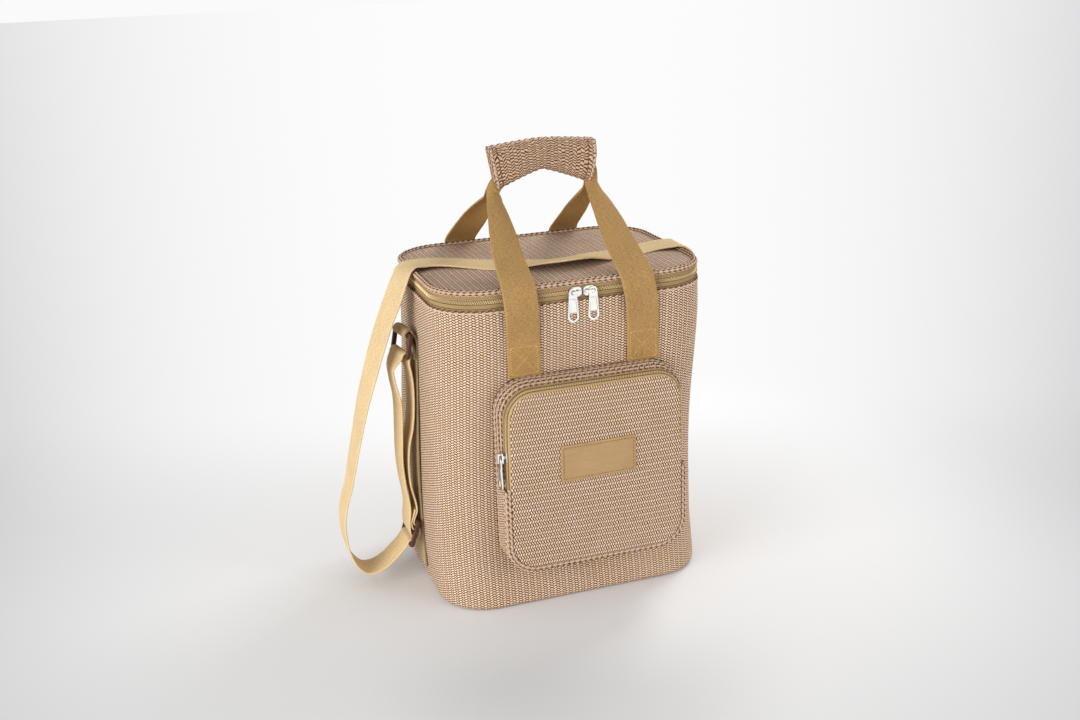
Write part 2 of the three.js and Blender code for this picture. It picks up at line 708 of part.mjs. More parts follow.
// Where a buckle hangs: its centre, and its directions along the bars, down and outwards
function buckleFrame(side, reach, level, tilt, yaw) {
  const lean = THREE.MathUtils.degToRad(tilt);
  const turn = THREE.MathUtils.degToRad(yaw);
  const along = new THREE.Vector3(side * Math.sin(turn), Math.cos(turn), 0);
  const outward = new THREE.Vector3(side * Math.cos(turn), -Math.sin(turn), 0);
  const up = new THREE.Vector3(0, 0, 1);
  const down = outward.clone().multiplyScalar(Math.sin(lean)).addScaledVector(up, -Math.cos(lean));
  const out = outward.clone().multiplyScalar(Math.cos(lean)).addScaledVector(up, Math.sin(lean));
  return { centre: new THREE.Vector3(side * reach, 0, level), along, down, out };
}

// A strap station given in a buckle's own directions
function nearBuckle(frame, down, out, width = strapWidth) {
  const place = frame.centre.clone().addScaledVector(frame.down, down).addScaledVector(frame.out, out);
  return { place, across: frame.along.clone(), width };
}

// A flat buckle with the given number of openings between its bars
function buckleShape(frame, openings, spacing) {
  const halfWide = strapWidth / 2 + buckleSideRoom + buckleBar;
  const halfTall = (spacing * openings + buckleBar) / 2;
  const roundedPath = (path, left, right, low, high, radius) => {
    path.moveTo(left + radius, low);
    path.lineTo(right - radius, low);
    path.absarc(right - radius, low + radius, radius, -Math.PI / 2, 0, false);
    path.lineTo(right, high - radius);
    path.absarc(right - radius, high - radius, radius, 0, Math.PI / 2, false);
    path.lineTo(left + radius, high);
    path.absarc(left + radius, high - radius, radius, Math.PI / 2, Math.PI, false);
    path.lineTo(left, low + radius);
    path.absarc(left + radius, low + radius, radius, Math.PI, 1.5 * Math.PI, false);
    return path;
  };
  const bevel = 0.8;
  const halfInner = halfWide - buckleBar;
  const outline = roundedPath(new THREE.Shape(), bevel - halfWide, halfWide - bevel, bevel - halfTall, halfTall - bevel, 2.2);
  for (let k = 0; k < openings; k += 1) {
    const low = -halfTall + buckleBar + k * spacing;
    const high = low + spacing - buckleBar;
    outline.holes.push(roundedPath(new THREE.Path(), -halfInner - bevel, halfInner + bevel, low - bevel, high + bevel, 1.6));
  }
  const depth = buckleThickness - 2 * bevel;
  const solid = new THREE.ExtrudeGeometry(outline, {
    depth, bevelEnabled: true, bevelThickness: bevel, bevelSize: bevel, bevelSegments: 1, curveSegments: 3,
  });
  solid.translate(0, 0, -depth / 2);
  const up = frame.down.clone().negate();
  const facing = frame.along.clone().cross(up);
  const place = new THREE.Matrix4().makeBasis(frame.along, up, facing).setPosition(frame.centre);
  return solid.applyMatrix4(place);
}

const [leftRing, rightRing] = [-1, 1].map((side) => {
  return buckleFrame(side, halfWidth(side, ringLevel) + ringStandOff, ringLevel, ringTilt, ringYaw);
});
const adjuster = buckleFrame(-1, adjusterReach, adjusterHeight, adjusterTilt, 0);

// Webbing sewn up the middle of a side wall, whose top goes over the ring's upper bar and back to the wall
function buildAnchor(name, side, ring) {
  const onWall = (level) => side * (halfWidth(side, level) + 1.5 * seat + webbingThickness / 2);
  const upright = [0, 1, 0];
  const wrapRadius = buckleBar / 2 + 1 + webbingThickness / 2;
  const top = -ringBarSpacing / 2;
  const wallTop = ringLevel + 3;
  const wallSteps = [anchorLow, ...wallLevels.filter((level) => level > anchorLow && level < ringLevel - 10), ringLevel - 8];
  const tailOut = onWall(ringLevel - 12) + side * (webbingThickness + 2 * seat);
  const stations = [
    ...wallSteps.map((level) => station([onWall(level), 0, level], upright, webbingWidth)),
    station([onWall(wallTop), 0, wallTop], upright, webbingWidth),
    station([onWall(wallTop) + side * 2.5, 0, wallTop + 7], upright, webbingWidth),
    nearBuckle(ring, top - wrapRadius, -wrapRadius * 0.8),
    nearBuckle(ring, top - wrapRadius, wrapRadius * 0.35),
    nearBuckle(ring, top, wrapRadius),
    nearBuckle(ring, top + wrapRadius * 0.75, wrapRadius * 0.6),
    nearBuckle(ring, top + wrapRadius * 0.95, -wrapRadius * 0.5),
    station([tailOut + side * 1.2, 0, ringLevel + 1], upright, webbingWidth),
    station([tailOut, 0, ringLevel - 5], upright, webbingWidth),
    station([tailOut, 0, ringLevel - 14], upright, webbingWidth),
  ];
  addPiece(name, ribbon(stations, webbingThickness, 3), webbingMaterial);
}

// The shoulder strap, from its end sewn round the adjuster's middle bar: up and over the left ring's lower
// bar, down through the adjuster, out in a slack loop, over the lid, and round the right ring's lower bar
function buildStrap() {
  const onLid = lidTop + seat + strapThickness / 2;
  const overRim = rimTop + seat + strapThickness / 2;
  const edge = bodyWidth / 2;
  const low = ringBarSpacing / 2;
  const bar = adjusterBarSpacing;
  const wrap = buckleBar / 2 + 0.7 + strapThickness / 2;
  const onBar = buckleThickness / 2 + seat + strapThickness / 2;
  const layer = strapThickness + seat;
  const at = (down, out) => nearBuckle(adjuster, down, out);
  const left = (down, out) => nearBuckle(leftRing, down, out);
  const right = (down, out) => nearBuckle(rightRing, down, out);
  const free = (x, y, z, twist = 0, roll = 0) => station([x, y, z], [twist, 1, roll], strapWidth);
  const sewnEnd = [
    at(-bar - 12, onBar + 1.1 * layer), at(-bar - 5, onBar + 1.05 * layer), at(-bar, onBar + layer + 0.2), at(-9.2, 5.1),
    at(-6.2, 3.7), at(-3.8, 1.9),
  ];
  const middleBar = [
    at(-wrap, 0), at(-wrap * 0.7, -wrap * 0.7), at(0, -wrap), at(wrap * 0.7, -wrap * 0.7), at(wrap, 0),
    at(wrap * 0.7, wrap * 0.7), at(0, wrap + 0.4),
  ];
  const outerRun = [
    at(-6, 5.9), at(-bar, onBar + 2.3 * layer), at(-bar - 12, onBar + 2.4 * layer), free(-155.4, 0, 108),
    free(-156, 0, 130), free(-155.8, 0, 158), free(-154.8, 0, 190), free(-155.6, 0, 212), free(-155, 0, 224),
  ];
  const overRing = [
    left(low + 2.5, wrap + 1.4), left(low - wrap * 0.3, wrap + 0.2), left(low - wrap * 0.8, wrap * 0.7),
    left(low - wrap - 0.1, 0), left(low - wrap * 0.8, -wrap * 0.7), left(low - wrap * 0.1, -wrap - 0.1),
  ];
  const innerRun = [
    left(low + 6, -wrap - 0.4), free(-145.2, 0, 218), free(-144.7, 0, 190), free(-145.9, 0, 150), free(-147.7, 0, 110),
    at(-bar - 12, onBar + 0.2), at(-bar - 3, onBar + 0.3), at(-bar, onBar + 0.2), at(-9.9, 2.9), at(-7.4, 0), at(-4.7, -3.8),
    at(-1.5, -5.5),
    at(2.2, -5.4), at(5.6, -2.9), at(7.9, 0.5), at(9.7, 2.9), at(bar, onBar + 0.3),
  ];
  const slack = [
    free(-162.5, 0, 38), free(-170, 0, 31), free(-179, 0, 23.5), free(-190, 0, 18.5), free(-200.5, 0, 19), free(-208, 0, 26),
    free(-213, 0, 36), free(-217, 0, 53), free(-218, 0, 75), free(-215, 0, 92), free(-209.7, 0, 108), free(-203.5, 0, 134, -0.04),
    free(-196.3, 0, 163, -0.08), free(-189, 0, 191, -0.14), free(-181, 0, 216, -0.2), free(-172.5, 0, 241, -0.24),
    free(-161, 0, 271, -0.26), free(-152, 1, 290, -0.3), free(-145, 4, 304.5, -0.25),
  ];
  const acrossLid = [
    free(-edge - 5.5, 8, overRim - 1.6, -0.15), free(-edge + 1, 12, overRim + 1.4), free(-edge + 16, 18, overRim + 1.4),
    free(-edge + 37, 16, onLid + 2), free(-edge + 62, 0, onLid + 1), free(-47, -21, onLid + 2),
    free(-12, -42, onLid + 6, 0, -0.18), free(22, -41, onLid + 6, 0, -0.18), free(50, -30, onLid + 2),
    free(edge - 53, -20, onLid + 0.6), free(edge - 28, -12, onLid + 1), free(edge - 11, -14, overRim + 0.8),
    free(edge + 1, -17, overRim + 0.3), free(edge + 10.5, -17, overRim - 8), free(edge + 15, -14, overRim - 24),
  ];
  const rightEnd = [
    right(-low - 16, 8.6), right(-low - 6, 7.4), right(-low + 4, 6.9), right(1, 6.1), right(low - 4.5, 4.6), right(low, wrap + 0.1),
    right(low + wrap * 0.7, wrap * 0.7), right(low + wrap, 0), right(low + wrap * 0.7, -wrap * 0.7), right(low, -wrap),
    right(low - 3.4, -2.2), right(low - 6, 0.4), right(low - 9, 2.6), right(low - 13, 3.9),
  ];
  const stations = [...sewnEnd, ...middleBar, ...outerRun, ...overRing, ...innerRun, ...slack, ...acrossLid, ...rightEnd];
  addPiece('shoulder_strap', ribbon(stations, strapThickness, 3), strapMaterial);
}

buildBody();
buildMainZip();
buildLid();
buildSewnEnds();
buildHandle('front_handle', -1, frontSway);
buildHandle('back_handle', 1, 0);
buildWrap();
buildPocket();
buildSliders();
addPiece('ring_left', buckleShape(leftRing, 1, ringBarSpacing), plasticMaterial);
addPiece('ring_right', buckleShape(rightRing, 1, ringBarSpacing), plasticMaterial);
addPiece('strap_adjuster', buckleShape(adjuster, 2, adjusterBarSpacing), plasticMaterial);
buildAnchor('side_anchor_left', -1, leftRing);
buildAnchor('side_anchor_right', 1, rightRing);
buildStrap();

export default bag;
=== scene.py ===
"""Woven cooler bag: fabric, webbing, zips and stage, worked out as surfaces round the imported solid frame.

Everything is in metres, +Z up, the front with the pocket towards -Y.
"""

from functools import partial

import bpy
import numpy as np
from bpy.props import FloatProperty, FloatVectorProperty, PointerProperty
from bpy.types import Operator, Panel, PropertyGroup
from mathutils import Matrix, Vector


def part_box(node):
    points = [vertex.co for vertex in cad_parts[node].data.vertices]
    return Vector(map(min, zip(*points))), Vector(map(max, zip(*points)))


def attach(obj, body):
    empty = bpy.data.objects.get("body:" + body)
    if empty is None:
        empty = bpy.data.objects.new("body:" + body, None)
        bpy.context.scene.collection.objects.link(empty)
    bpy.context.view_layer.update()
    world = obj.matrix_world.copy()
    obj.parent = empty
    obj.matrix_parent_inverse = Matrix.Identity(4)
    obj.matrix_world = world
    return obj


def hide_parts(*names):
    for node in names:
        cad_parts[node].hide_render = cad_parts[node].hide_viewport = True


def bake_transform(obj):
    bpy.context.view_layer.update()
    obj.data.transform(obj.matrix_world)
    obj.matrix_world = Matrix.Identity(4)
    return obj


bl_info = {
    "name": "Woven Cooler Bag",
    "version": (1, 0, 0),
    "blender": (4, 5, 0),
    "location": "View3D > Sidebar > Cooler Bag",
    "description": "Dresses the solid frame of a woven cooler bag in fabric, webbing and zips",
    "category": "Object",
}

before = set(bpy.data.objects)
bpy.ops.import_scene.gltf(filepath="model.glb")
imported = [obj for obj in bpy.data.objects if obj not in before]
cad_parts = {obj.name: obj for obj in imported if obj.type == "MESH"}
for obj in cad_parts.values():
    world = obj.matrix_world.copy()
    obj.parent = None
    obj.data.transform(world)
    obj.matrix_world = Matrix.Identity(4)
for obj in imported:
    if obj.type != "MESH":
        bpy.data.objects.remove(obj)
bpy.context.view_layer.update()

MM = 0.001

# The bag's walls, as the solids have them
HALF_WIDTH = 0.133
HALF_DEPTH = 0.102
BODY_TOP = 0.297
CORNER = 0.050
WAIST_LOW = 0.070
WAIST_HIGH = 0.095
WALL_AT_BASE = {-1: 0.006, 1: -0.004}
WALL_AT_WAIST = {-1: 0.0075, 1: -0.0096}
ZIP_LEVEL = 0.3047
LID_TOP = 0.3129
RIM_BOTTOM = 0.3107
TAPE_MIDDLE = 0.0029

# Pocket
POCKET_HALF = 0.090
POCKET_LOW = 0.0487
POCKET_TOP = 0.232
POCKET_MIDDLE = (POCKET_TOP + POCKET_LOW) / 2
POCKET_RISE = (POCKET_TOP - POCKET_LOW) / 2
POCKET_CORNER = 0.030
POCKET_DEPTH = 0.0296
POCKET_NARROWING = 0.002
FLAP_LEVEL = 0.134
FRONT_WALL = -HALF_DEPTH

# Handles and webbing
LEG_SPACING = 0.1164
SEWN_TOP = 0.2623
GRIP_TOP = 0.4145
WRAP_LENGTH = 0.099
WEB_WIDTH = 0.032
HANDLE_THICKNESS = 0.0018
STRAP_THICKNESS = 0.0016


def span(label, description, metres):
    """A length property."""
    return FloatProperty(name=label, description=description, default=metres, unit="LENGTH", precision=5)


def tint(label, description, red, green, blue):
    """A colour property, from display values of 0 to 255."""
    default = (red / 255, green / 255, blue / 255)
    kind = {"subtype": "COLOR_GAMMA", "size": 3, "min": 0, "max": 1}
    return FloatVectorProperty(name=label, description=description, default=default, **kind)


class BagSizes(PropertyGroup):
    """Sizes of the weave, stitches and soft forms."""

    column_pitch: span("Column pitch", "Distance between neighbouring ribs of the weave", 0.00312)
    stitch_pitch: span("Stitch pitch", "Length of one stitch along a rib", 0.00246)
    hem_pitch: span("Hem pitch", "Distance between the big stitches of hems and seams", 0.0062)
    wall_slack: span("Wall slack", "How far the soft walls wander from the stiff tub", 0.0011)
    lid_crown: span("Lid crown", "How far the lid's middle stands up", 0.0018)
    pocket_crown: span("Pocket crown", "How far the pocket's front swells", 0.0022)
    coil_pitch: span("Coil pitch", "Distance between the zip's teeth", 0.0016)


class BagColours(PropertyGroup):
    """Colours of the yarns, webbing, zips and hardware."""

    pale_yarn: tint("Pale yarn", "Pinkish yarn of every other rib", 242, 212, 190)
    tan_yarn: tint("Tan yarn", "Yellowish yarn between the pale ribs", 232, 196, 158)
    gap: tint("Gap", "Shade deep between the stitches", 44, 19, 5)
    # painted shade: the dark grains in the slits of seams and hems, and the braid core's gap
    slit: tint("Slit", "Painted shade in the slits of the seams", 92, 62, 44)
    webbing: tint("Webbing", "Handles", 162, 128, 80)
    strap: tint("Strap", "Shoulder strap and side anchors", 211, 185, 141)
    tape: tint("Zip tape", "Zip tapes and bindings", 162, 136, 96)
    coil: tint("Zip coil", "Zip teeth", 230, 202, 152)
    label: tint("Label", "Sewn label", 172, 140, 100)
    nickel: tint("Nickel", "Sliders and pullers", 250, 249, 245)
    buckle: tint("Buckle", "Rings and adjuster", 84, 56, 46)
    foam: tint("Foam", "Insulating foam", 214, 218, 222)
    foil: tint("Foil", "Insulated lining", 205, 208, 212)
    board: tint("Board", "Base board", 58, 58, 60)


def linear(colour):
    """A display colour as the linear numbers that shaders take."""
    c = np.array(colour, float)
    return (*np.where(c <= 0.04045, c / 12.92, ((c + 0.055) / 1.055) ** 2.4).tolist(), 1.0)


def ease(t):
    """0 to 1 with flat ends."""
    s = np.clip(t, 0, 1)
    return s * s * (3 - 2 * s)


def unit(v):
    """Vectors along the last axis, made one long."""
    return v / np.maximum(np.linalg.norm(v, axis=-1, keepdims=True), 1e-12)


def waves(a, b, seed, count=6, low=9.0, high=34.0):
    """Soft wandering between about -1 and 1: a sum of slow sines of two lengths, in random directions."""
    rng = np.random.default_rng(seed)
    total = np.zeros(np.broadcast(a, b).shape)
    for _ in range(count):
        fa, fb = rng.uniform(low, high, 2) * rng.choice([-1, 1], 2)
        total = total + np.sin(fa * a + fb * b + rng.uniform(0, 6.28))
    return total / count**0.5 / 1.4


# Meshes


def put_mesh(
    name, points, faces, uvs=None, body=None, slot=None, finish=None, nodes=(), outward=True, sharp=None
):
    """A mesh object at the origin, from points, lists of faces and one UV pair for each face corner. Its
    faces turn outwards: the volume under them, a sum of triple products, comes out positive. It rides on a
    body, wears a finish and stands for nodes of the frame."""
    volume = 0.0
    for f in faces if outward else ():
        first, *others = (points[f[:, k]] for k in range(f.shape[1]))
        for b, c in zip(others, others[1:]):
            volume += np.einsum("ij,ij->", first, np.cross(b, c))
    if volume < 0:
        faces = [f[:, ::-1] for f in faces]
        uvs = uvs and [uv[:, ::-1] for uv in uvs]
    mesh = bpy.data.meshes.new(name)
    mesh.from_pydata(points.tolist(), [], [row for f in faces for row in f.tolist()])
    if uvs:
        layer = mesh.uv_layers.new(name="cloth")
        layer.data.foreach_set("uv", np.concatenate([uv.reshape(-1) for uv in uvs]).astype(np.float32))
    mesh.polygons.foreach_set("use_smooth", np.full(len(mesh.polygons), True))
    if sharp:
        mesh.set_sharp_from_angle(angle=np.radians(sharp))
    mesh.update()
    piece = bpy.data.objects.new(name, mesh)
    bpy.context.scene.collection.objects.link(piece)
    if body:
        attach(piece, body)
    if nodes:
        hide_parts(*nodes)
    if finish:
        wear(piece, finish)
    return piece


def surface(name, points, u, v, closed=True, caps=True, ring=False, **extra):
    """A mesh through a grid: points[i, j]. Each row closes on itself if closed, and the rows do if ring. Caps
    close the first and last row with a fan round their middle. u and v spread over the grid, and hold one
    more column (or row) where it closes."""
    rows, cols = points.shape[:2]
    steps = np.arange(rows if ring else rows - 1), np.arange(cols if closed else cols - 1)
    i, j = np.meshgrid(*steps, indexing="ij")
    far, side = (i + 1) % rows, (j + 1) % cols
    quads = np.stack([i * cols + j, i * cols + side, far * cols + side, far * cols + j], -1).reshape(-1, 4)
    pair = np.stack(np.broadcast_arrays(u, v), -1)
    around = [pair[i, j], pair[i, j + 1], pair[i + 1, j + 1], pair[i + 1, j]]
    faces, uvs = [quads], [np.stack(around, -2).reshape(-1, 4, 2)]
    places = points.reshape(-1, 3)
    if caps and closed and not ring:
        first, j = len(places), np.arange(cols)
        places = np.vstack([places, points[[0, -1]].mean(1)])
        for row, middle, turn in ((0, first, -1), (rows - 1, first + 1, 1)):
            fan = np.stack([row * cols + j, row * cols + (j + 1) % cols, np.full(cols, middle)], -1)
            rim = pair[row]
            flat = np.stack([rim[:-1], rim[1:], np.broadcast_to(rim[:-1].mean(0), (cols, 2))], 1)
            if np.ptp(points[row, :, 2]) < 1e-4:
                flat = places[fan][:, :, :2]
            faces.append(fan[:, ::turn])
            uvs.append(flat[:, ::turn])
    return put_mesh(name, places, faces, uvs, **extra)


def closed_uv(rows, first, second):
    """Two coordinates of closed rows, as their u and v."""
    closed = np.concatenate([rows, rows[:, :1]], 1)
    return closed[..., first], closed[..., second]


# Sides and rings enough for a stitch of thin thread
THIN = {"around": 5, "rings": 2}


def grains(name, places, along, lift, size, seed, around=6, rings=4, **extra):
    """Many plump ovals, one at each place: a sphere stretched to size (length, width, height), its poles
    along the given direction, with a random tone for each in the attribute "tone"."""
    rng = np.random.default_rng(seed)
    a = np.linspace(0, np.pi, rings + 2)[1:-1, None]
    b = np.linspace(0, 2 * np.pi, around, endpoint=False)
    plump = np.sin(a) ** 0.7
    shape = np.stack([np.cos(a) + 0 * b, plump * np.cos(b), plump * np.sin(b)], -1).reshape(-1, 3)
    shape = np.vstack([[[1, 0, 0]], shape, [[-1, 0, 0]]]) * (np.array(size) / 2)
    along = unit(np.broadcast_to(along, places.shape))
    side = unit(np.cross(lift, along))
    frames = np.stack([along, side, np.cross(along, side)], 1)
    grow = 1 + rng.uniform(-0.06, 0.06, (len(places), 1, 1))
    points = places[:, None, :] + grow * np.einsum("kc,ncd->nkd", shape, frames)
    count = len(shape)
    j = np.arange(around)
    nxt = (j + 1) % around
    near = np.stack([0 * j, 1 + j, 1 + nxt], -1)
    base = 1 + (rings - 1) * around
    far = np.stack([base + j, 0 * j + count - 1, base + nxt], -1)
    r = np.arange(rings - 1)[:, None] * around + 1
    quads = np.stack([r + j, r + around + j, r + around + nxt, r + nxt], -1).reshape(-1, 4)
    step = (np.arange(len(places)) * count)[:, None, None]
    tris = (np.concatenate([near, far])[None] + step).reshape(-1, 3)
    piece = put_mesh(name, points.reshape(-1, 3), [(quads[None] + step).reshape(-1, 4), tris], **extra)
    tone = piece.data.attributes.new("tone", "FLOAT", "POINT")
    tone.data.foreach_set("value", np.repeat(rng.uniform(0, 1, len(places)), count).astype(np.float32))
    return piece


def lengths(path):
    """Distance run along a line at each of its points."""
    return np.concatenate([[0.0], np.cumsum(np.linalg.norm(np.diff(path, axis=0), axis=1))])


def closed_lengths(ring):
    """Distance run round a closed line, back to its first point."""
    return lengths(np.vstack([ring, ring[:1]]))


def drawn_out(values, run, at):
    """Rows of values at stations, taken at other distances in even shares between them."""
    return np.stack([np.interp(at, run, column) for column in values.T], 1)


def shared(values, steps):
    """Values at stations, drawn out in even shares between them."""
    values = np.asarray(values, float)
    at = np.linspace(0, len(values) - 1, (len(values) - 1) * steps + 1)
    out = drawn_out(values.reshape(len(values), -1), np.arange(len(values)), at)
    return out.reshape(len(at), *values.shape[1:])


def stitches(name, path, lift, pitch, size, seed, slant=0.0, closed=True, shift=0.5, **extra):
    """One row of plump stitches at an even pitch along a line, each leaning by the slant."""
    lift = np.broadcast_to(lift, path.shape)
    if closed:
        path, lift = np.vstack([path, path[:1]]), np.vstack([lift, lift[:1]])
    run = lengths(path)
    count = max(int(round(run[-1] / pitch)), 2)
    at = (np.arange(count) + shift) * run[-1] / count
    ahead = unit(drawn_out(path, run, at + 2e-4) - drawn_out(path, run, at - 2e-4))
    up = unit(drawn_out(lift, run, at))
    leaning = ahead + slant * np.cross(up, ahead)
    return grains(name, drawn_out(path, run, at), leaning, up, size, seed, **extra)


def circle(first, second, around):
    """Directions round a circle in the plane of two directions, for each point of a line."""
    b = np.linspace(0, 2 * np.pi, around, endpoint=False)[None, :, None]
    return np.cos(b) * first[:, None] + np.sin(b) * second[:, None]


def tube(name, path, radius, around=8, closed=False, **extra):
    """A round cord along a line: its section is a circle square to the line's direction."""
    ahead = unit(np.gradient(path, axis=0))
    if closed:
        ahead = unit(np.roll(path, -1, 0) - np.roll(path, 1, 0))
    hint = np.where(np.abs(ahead[:, 2:3]) > 0.9, [[1.0, 0, 0]], [[0, 0, 1.0]])
    side = unit(np.cross(hint, ahead))
    points = path[:, None] + radius * circle(side, np.cross(ahead, side), around)
    run = closed_lengths(path) if closed else lengths(path)
    v = np.linspace(0, 2 * np.pi * radius, around + 1)
    return surface(name, points, run[:, None], v[None], caps=not closed, ring=closed, **extra)


def coil(name, path, lift, pitch, rise, reach, wire, phase=0.0, **extra):
    """Zip teeth: a wire wound round a line. Its middle goes round an oval, rise along the lift and reach
    square to it, one turn for each pitch."""
    run, steps, around = lengths(path), 8, 5
    s = np.linspace(0, run[-1], int(run[-1] / pitch) * steps + 1)
    centre, up = drawn_out(path, run, s), unit(drawn_out(lift, run, s))
    ahead = unit(np.gradient(centre, axis=0))
    side = np.cross(up, ahead)
    a = 2 * np.pi * (np.arange(len(s)) / steps + phase)[:, None]
    middle = centre + rise * np.cos(a) * up + reach * np.sin(a) * side
    points = middle[:, None] + wire * circle(unit(np.cos(a) * up + np.sin(a) * side), ahead, around)
    return surface(name, points, s[:, None], np.zeros((1, around + 1)), **extra)


def curve_through(points, steps):
    """The centripetal Catmull-Rom curve through points, in even shares of each span."""
    p = np.vstack([2 * points[0] - points[1], points, 2 * points[-1] - points[-2]])
    d = np.linalg.norm(np.diff(p, axis=0), axis=1) ** 0.5
    n = len(points) - 1
    p0, p1, p2, p3 = (p[k : n + k] for k in range(4))
    d0, d1, d2 = (d[k : k + n, None] for k in range(3))
    t1 = d1 * ((p1 - p0) / d0 - (p2 - p0) / (d0 + d1) + (p2 - p1) / d1)
    t2 = d1 * ((p2 - p1) / d1 - (p3 - p1) / (d1 + d2) + (p3 - p2) / d2)
    w = (np.arange(steps) / steps)[None, :, None]
    p1, p2, t1, t2 = (x[:, None] for x in (p1, p2, t1, t2))
    spans = p1 + t1 * w + (-3 * p1 + 3 * p2 - 2 * t1 - t2) * w**2 + (2 * p1 - 2 * p2 + t1 + t2) * w**3
    return np.vstack([spans.reshape(-1, 3), points[-1:]])


# Half the section of webbing, whose other half is its turn about the middle: across in half widths, and
# through in half thicknesses, with round, slightly fat edges
HALF_SECTION = np.array(
    [(-0.94, 1.1), (-0.8, 1), (-0.5, 0.96), (-0.17, 0.94), (0.17, 0.94), (0.5, 0.96), (0.8, 1), (0.94, 1.1)]
    + [(0.99, 0.7), (1, 0), (0.99, -0.7)]
)
WEB_ACROSS, WEB_THROUGH = np.vstack([HALF_SECTION, -HALF_SECTION]).T


def webbing(name, centre, across, width, thickness, cup=0.0, start=0.0, **extra):
    """Flat webbing along a line: the face is square to the line and to the width's direction. Cup bends both
    edges back by that much."""
    ahead = unit(np.gradient(centre, axis=0))
    face = unit(np.cross(ahead, across))
    across = unit(np.cross(face, ahead))
    half, cup = (np.broadcast_to(x, len(centre))[:, None, None] for x in (width / 2, cup))
    a, b = WEB_ACROSS[None, :, None], WEB_THROUGH[None, :, None]
    depth = b * thickness / 2 - cup * (a * a - 0.3)
    points = centre[:, None] + a * half * across[:, None] + depth * face[:, None]
    v = np.append(WEB_ACROSS, WEB_ACROSS[0])[None] * np.abs(half[:, 0])
    return surface(name, points, start + lengths(centre)[:, None], v, sharp=60, **extra)


# Outlines


def round_corners(flat, arc):
    """Samples round a rectangle with round corners, from the middle of its far (+) side by the left: the
    share of the left half, the near or far sign, and the outward direction's two parts."""
    half = np.linspace(0, 1, flat // 2, endpoint=False)
    whole = np.linspace(0, 1, flat, endpoint=False)
    turn = np.radians(np.linspace(0, 90, arc, endpoint=False))
    parts = [
        (0.5 + 0.5 * half, 1, 0, 1),
        (1, 1, -np.sin(turn), np.cos(turn)),
        (1, 1 - 2 * whole, -1, 0),
        (1, -1, -np.cos(turn), -np.sin(turn)),
        (1 - whole, -1, 0, -1),
        (0, -1, np.sin(turn), -np.cos(turn)),
        (0, 2 * whole - 1, 1, 0),
        (0, 1, np.cos(turn), np.sin(turn)),
        (0.5 * half, 1, 0, 1),
    ]
    return np.concatenate([np.stack(np.broadcast_arrays(*part)) for part in parts], 1)


def half_width(side, level):
    """Where a side wall's outer face stands: eased from base to waist, then back to the straight top."""
    base, waist = WALL_AT_BASE[side], WALL_AT_WAIST[side]
    low = base + (waist - base) * ease(level / WAIST_LOW)
    high = waist * ease((BODY_TOP - level) / (BODY_TOP - WAIST_HIGH))
    return HALF_WIDTH + np.where(level < WAIST_LOW, low, high)


def bag_rings(levels, insets, flat=48, arc=18):
    """Rings round the bag at heights, each set in from the wall's outer face: points[i, j] and outward[j]."""
    levels, insets = (np.atleast_1d(x)[:, None] for x in np.broadcast_arrays(levels, insets))
    left, sign, c, s = round_corners(flat, arc)
    radius = np.maximum(CORNER - insets, 0.001)
    left_wall, right_wall = (half_width(side, levels) - insets - radius for side in (-1, 1))
    x = (1 - left) * right_wall - left * left_wall + radius * c
    y = sign * (HALF_DEPTH - insets - radius) + radius * s
    return np.stack([x, y, np.broadcast_to(levels, x.shape)], -1), np.stack([c, s, 0 * c], -1)


def ring_lengths(ring, pitch):
    """Distance run round a closed ring, with its whole length stretched to an even number of pitches."""
    run = closed_lengths(ring)
    pairs = max(round(run[-1] / (2 * pitch)), 1)
    return run * (2 * pairs * pitch / run[-1])


def hem_line(level, inset):
    """A closed line round the bag and its outward directions."""
    points, outward = bag_rings(level, inset)
    return points[0], outward


def zip_path(level, inset, flat=60, arc=30):
    """The part of a ring that the zip takes: all but the straight back."""
    points, outward = bag_rings(level, inset, flat, arc)
    keep = slice(flat // 2, len(outward) - flat // 2 + 1)
    return points[0, keep], outward[keep]


def pocket_rings(depths, insets, flat=44, arc=14):
    """Rings round the pocket, from the middle of its top by the left: depth counts outwards from the wall."""
    depths, insets = (np.atleast_1d(np.asarray(x, float)) for x in (depths, insets))
    depths = depths[:, None]
    insets = (insets if insets.ndim == 2 else insets[:, None]) + POCKET_NARROWING * depths / POCKET_DEPTH
    left, sign, c, s = round_corners(flat, arc)
    radius = np.maximum(POCKET_CORNER - insets, 0.001)
    x = (1 - 2 * left) * (POCKET_HALF - insets - radius) + radius * c
    z = POCKET_MIDDLE + sign * (POCKET_RISE - insets - radius) + radius * s
    y = np.broadcast_to(FRONT_WALL - depths, x.shape)
    return np.stack([x, y, z], -1), np.stack([c, 0 * c, s], -1)


def pocket_path(depth, inset, upper=True, flat=60, arc=24):
    """The part of a pocket ring above the level where the flap bends, or below it, from left to right. Over
    the pocket's top an inset counts in full, and beside it in part, so that the sides stand steeper."""
    if upper and inset > 0.0012:
        level = pocket_rings(depth, 0.0, flat, arc)[0][0, :, 2]
        inset = inset * (0.7 + 0.3 * ease((level - 0.180) / 0.040))[None]
    points, outward = pocket_rings(depth, inset, flat, arc)
    ring = points[0]
    above = ring[:, 2] > FLAP_LEVEL
    order = np.flatnonzero(~above)
    if upper:
        right = np.arange(len(ring)) > len(ring) // 2
        order = np.concatenate([np.flatnonzero(above & ~right)[::-1], np.flatnonzero(above & right)[::-1]])
    path, out = ring[order], outward[order]
    ends = path[[0, -1]].copy()
    ends[:, 2] = FLAP_LEVEL + (0.0002 if upper else -0.0002)
    return np.vstack([ends[:1], path, ends[1:]]), np.vstack([out[:1], out, out[-1:]])


def drawn_in(rings, shares):
    """The last of some rings, drawn in towards its middle once for each share."""
    middle = rings[-1:].mean(1, keepdims=True)
    return middle + (rings[-1:] - middle) * shares[:, None, None]


# Materials


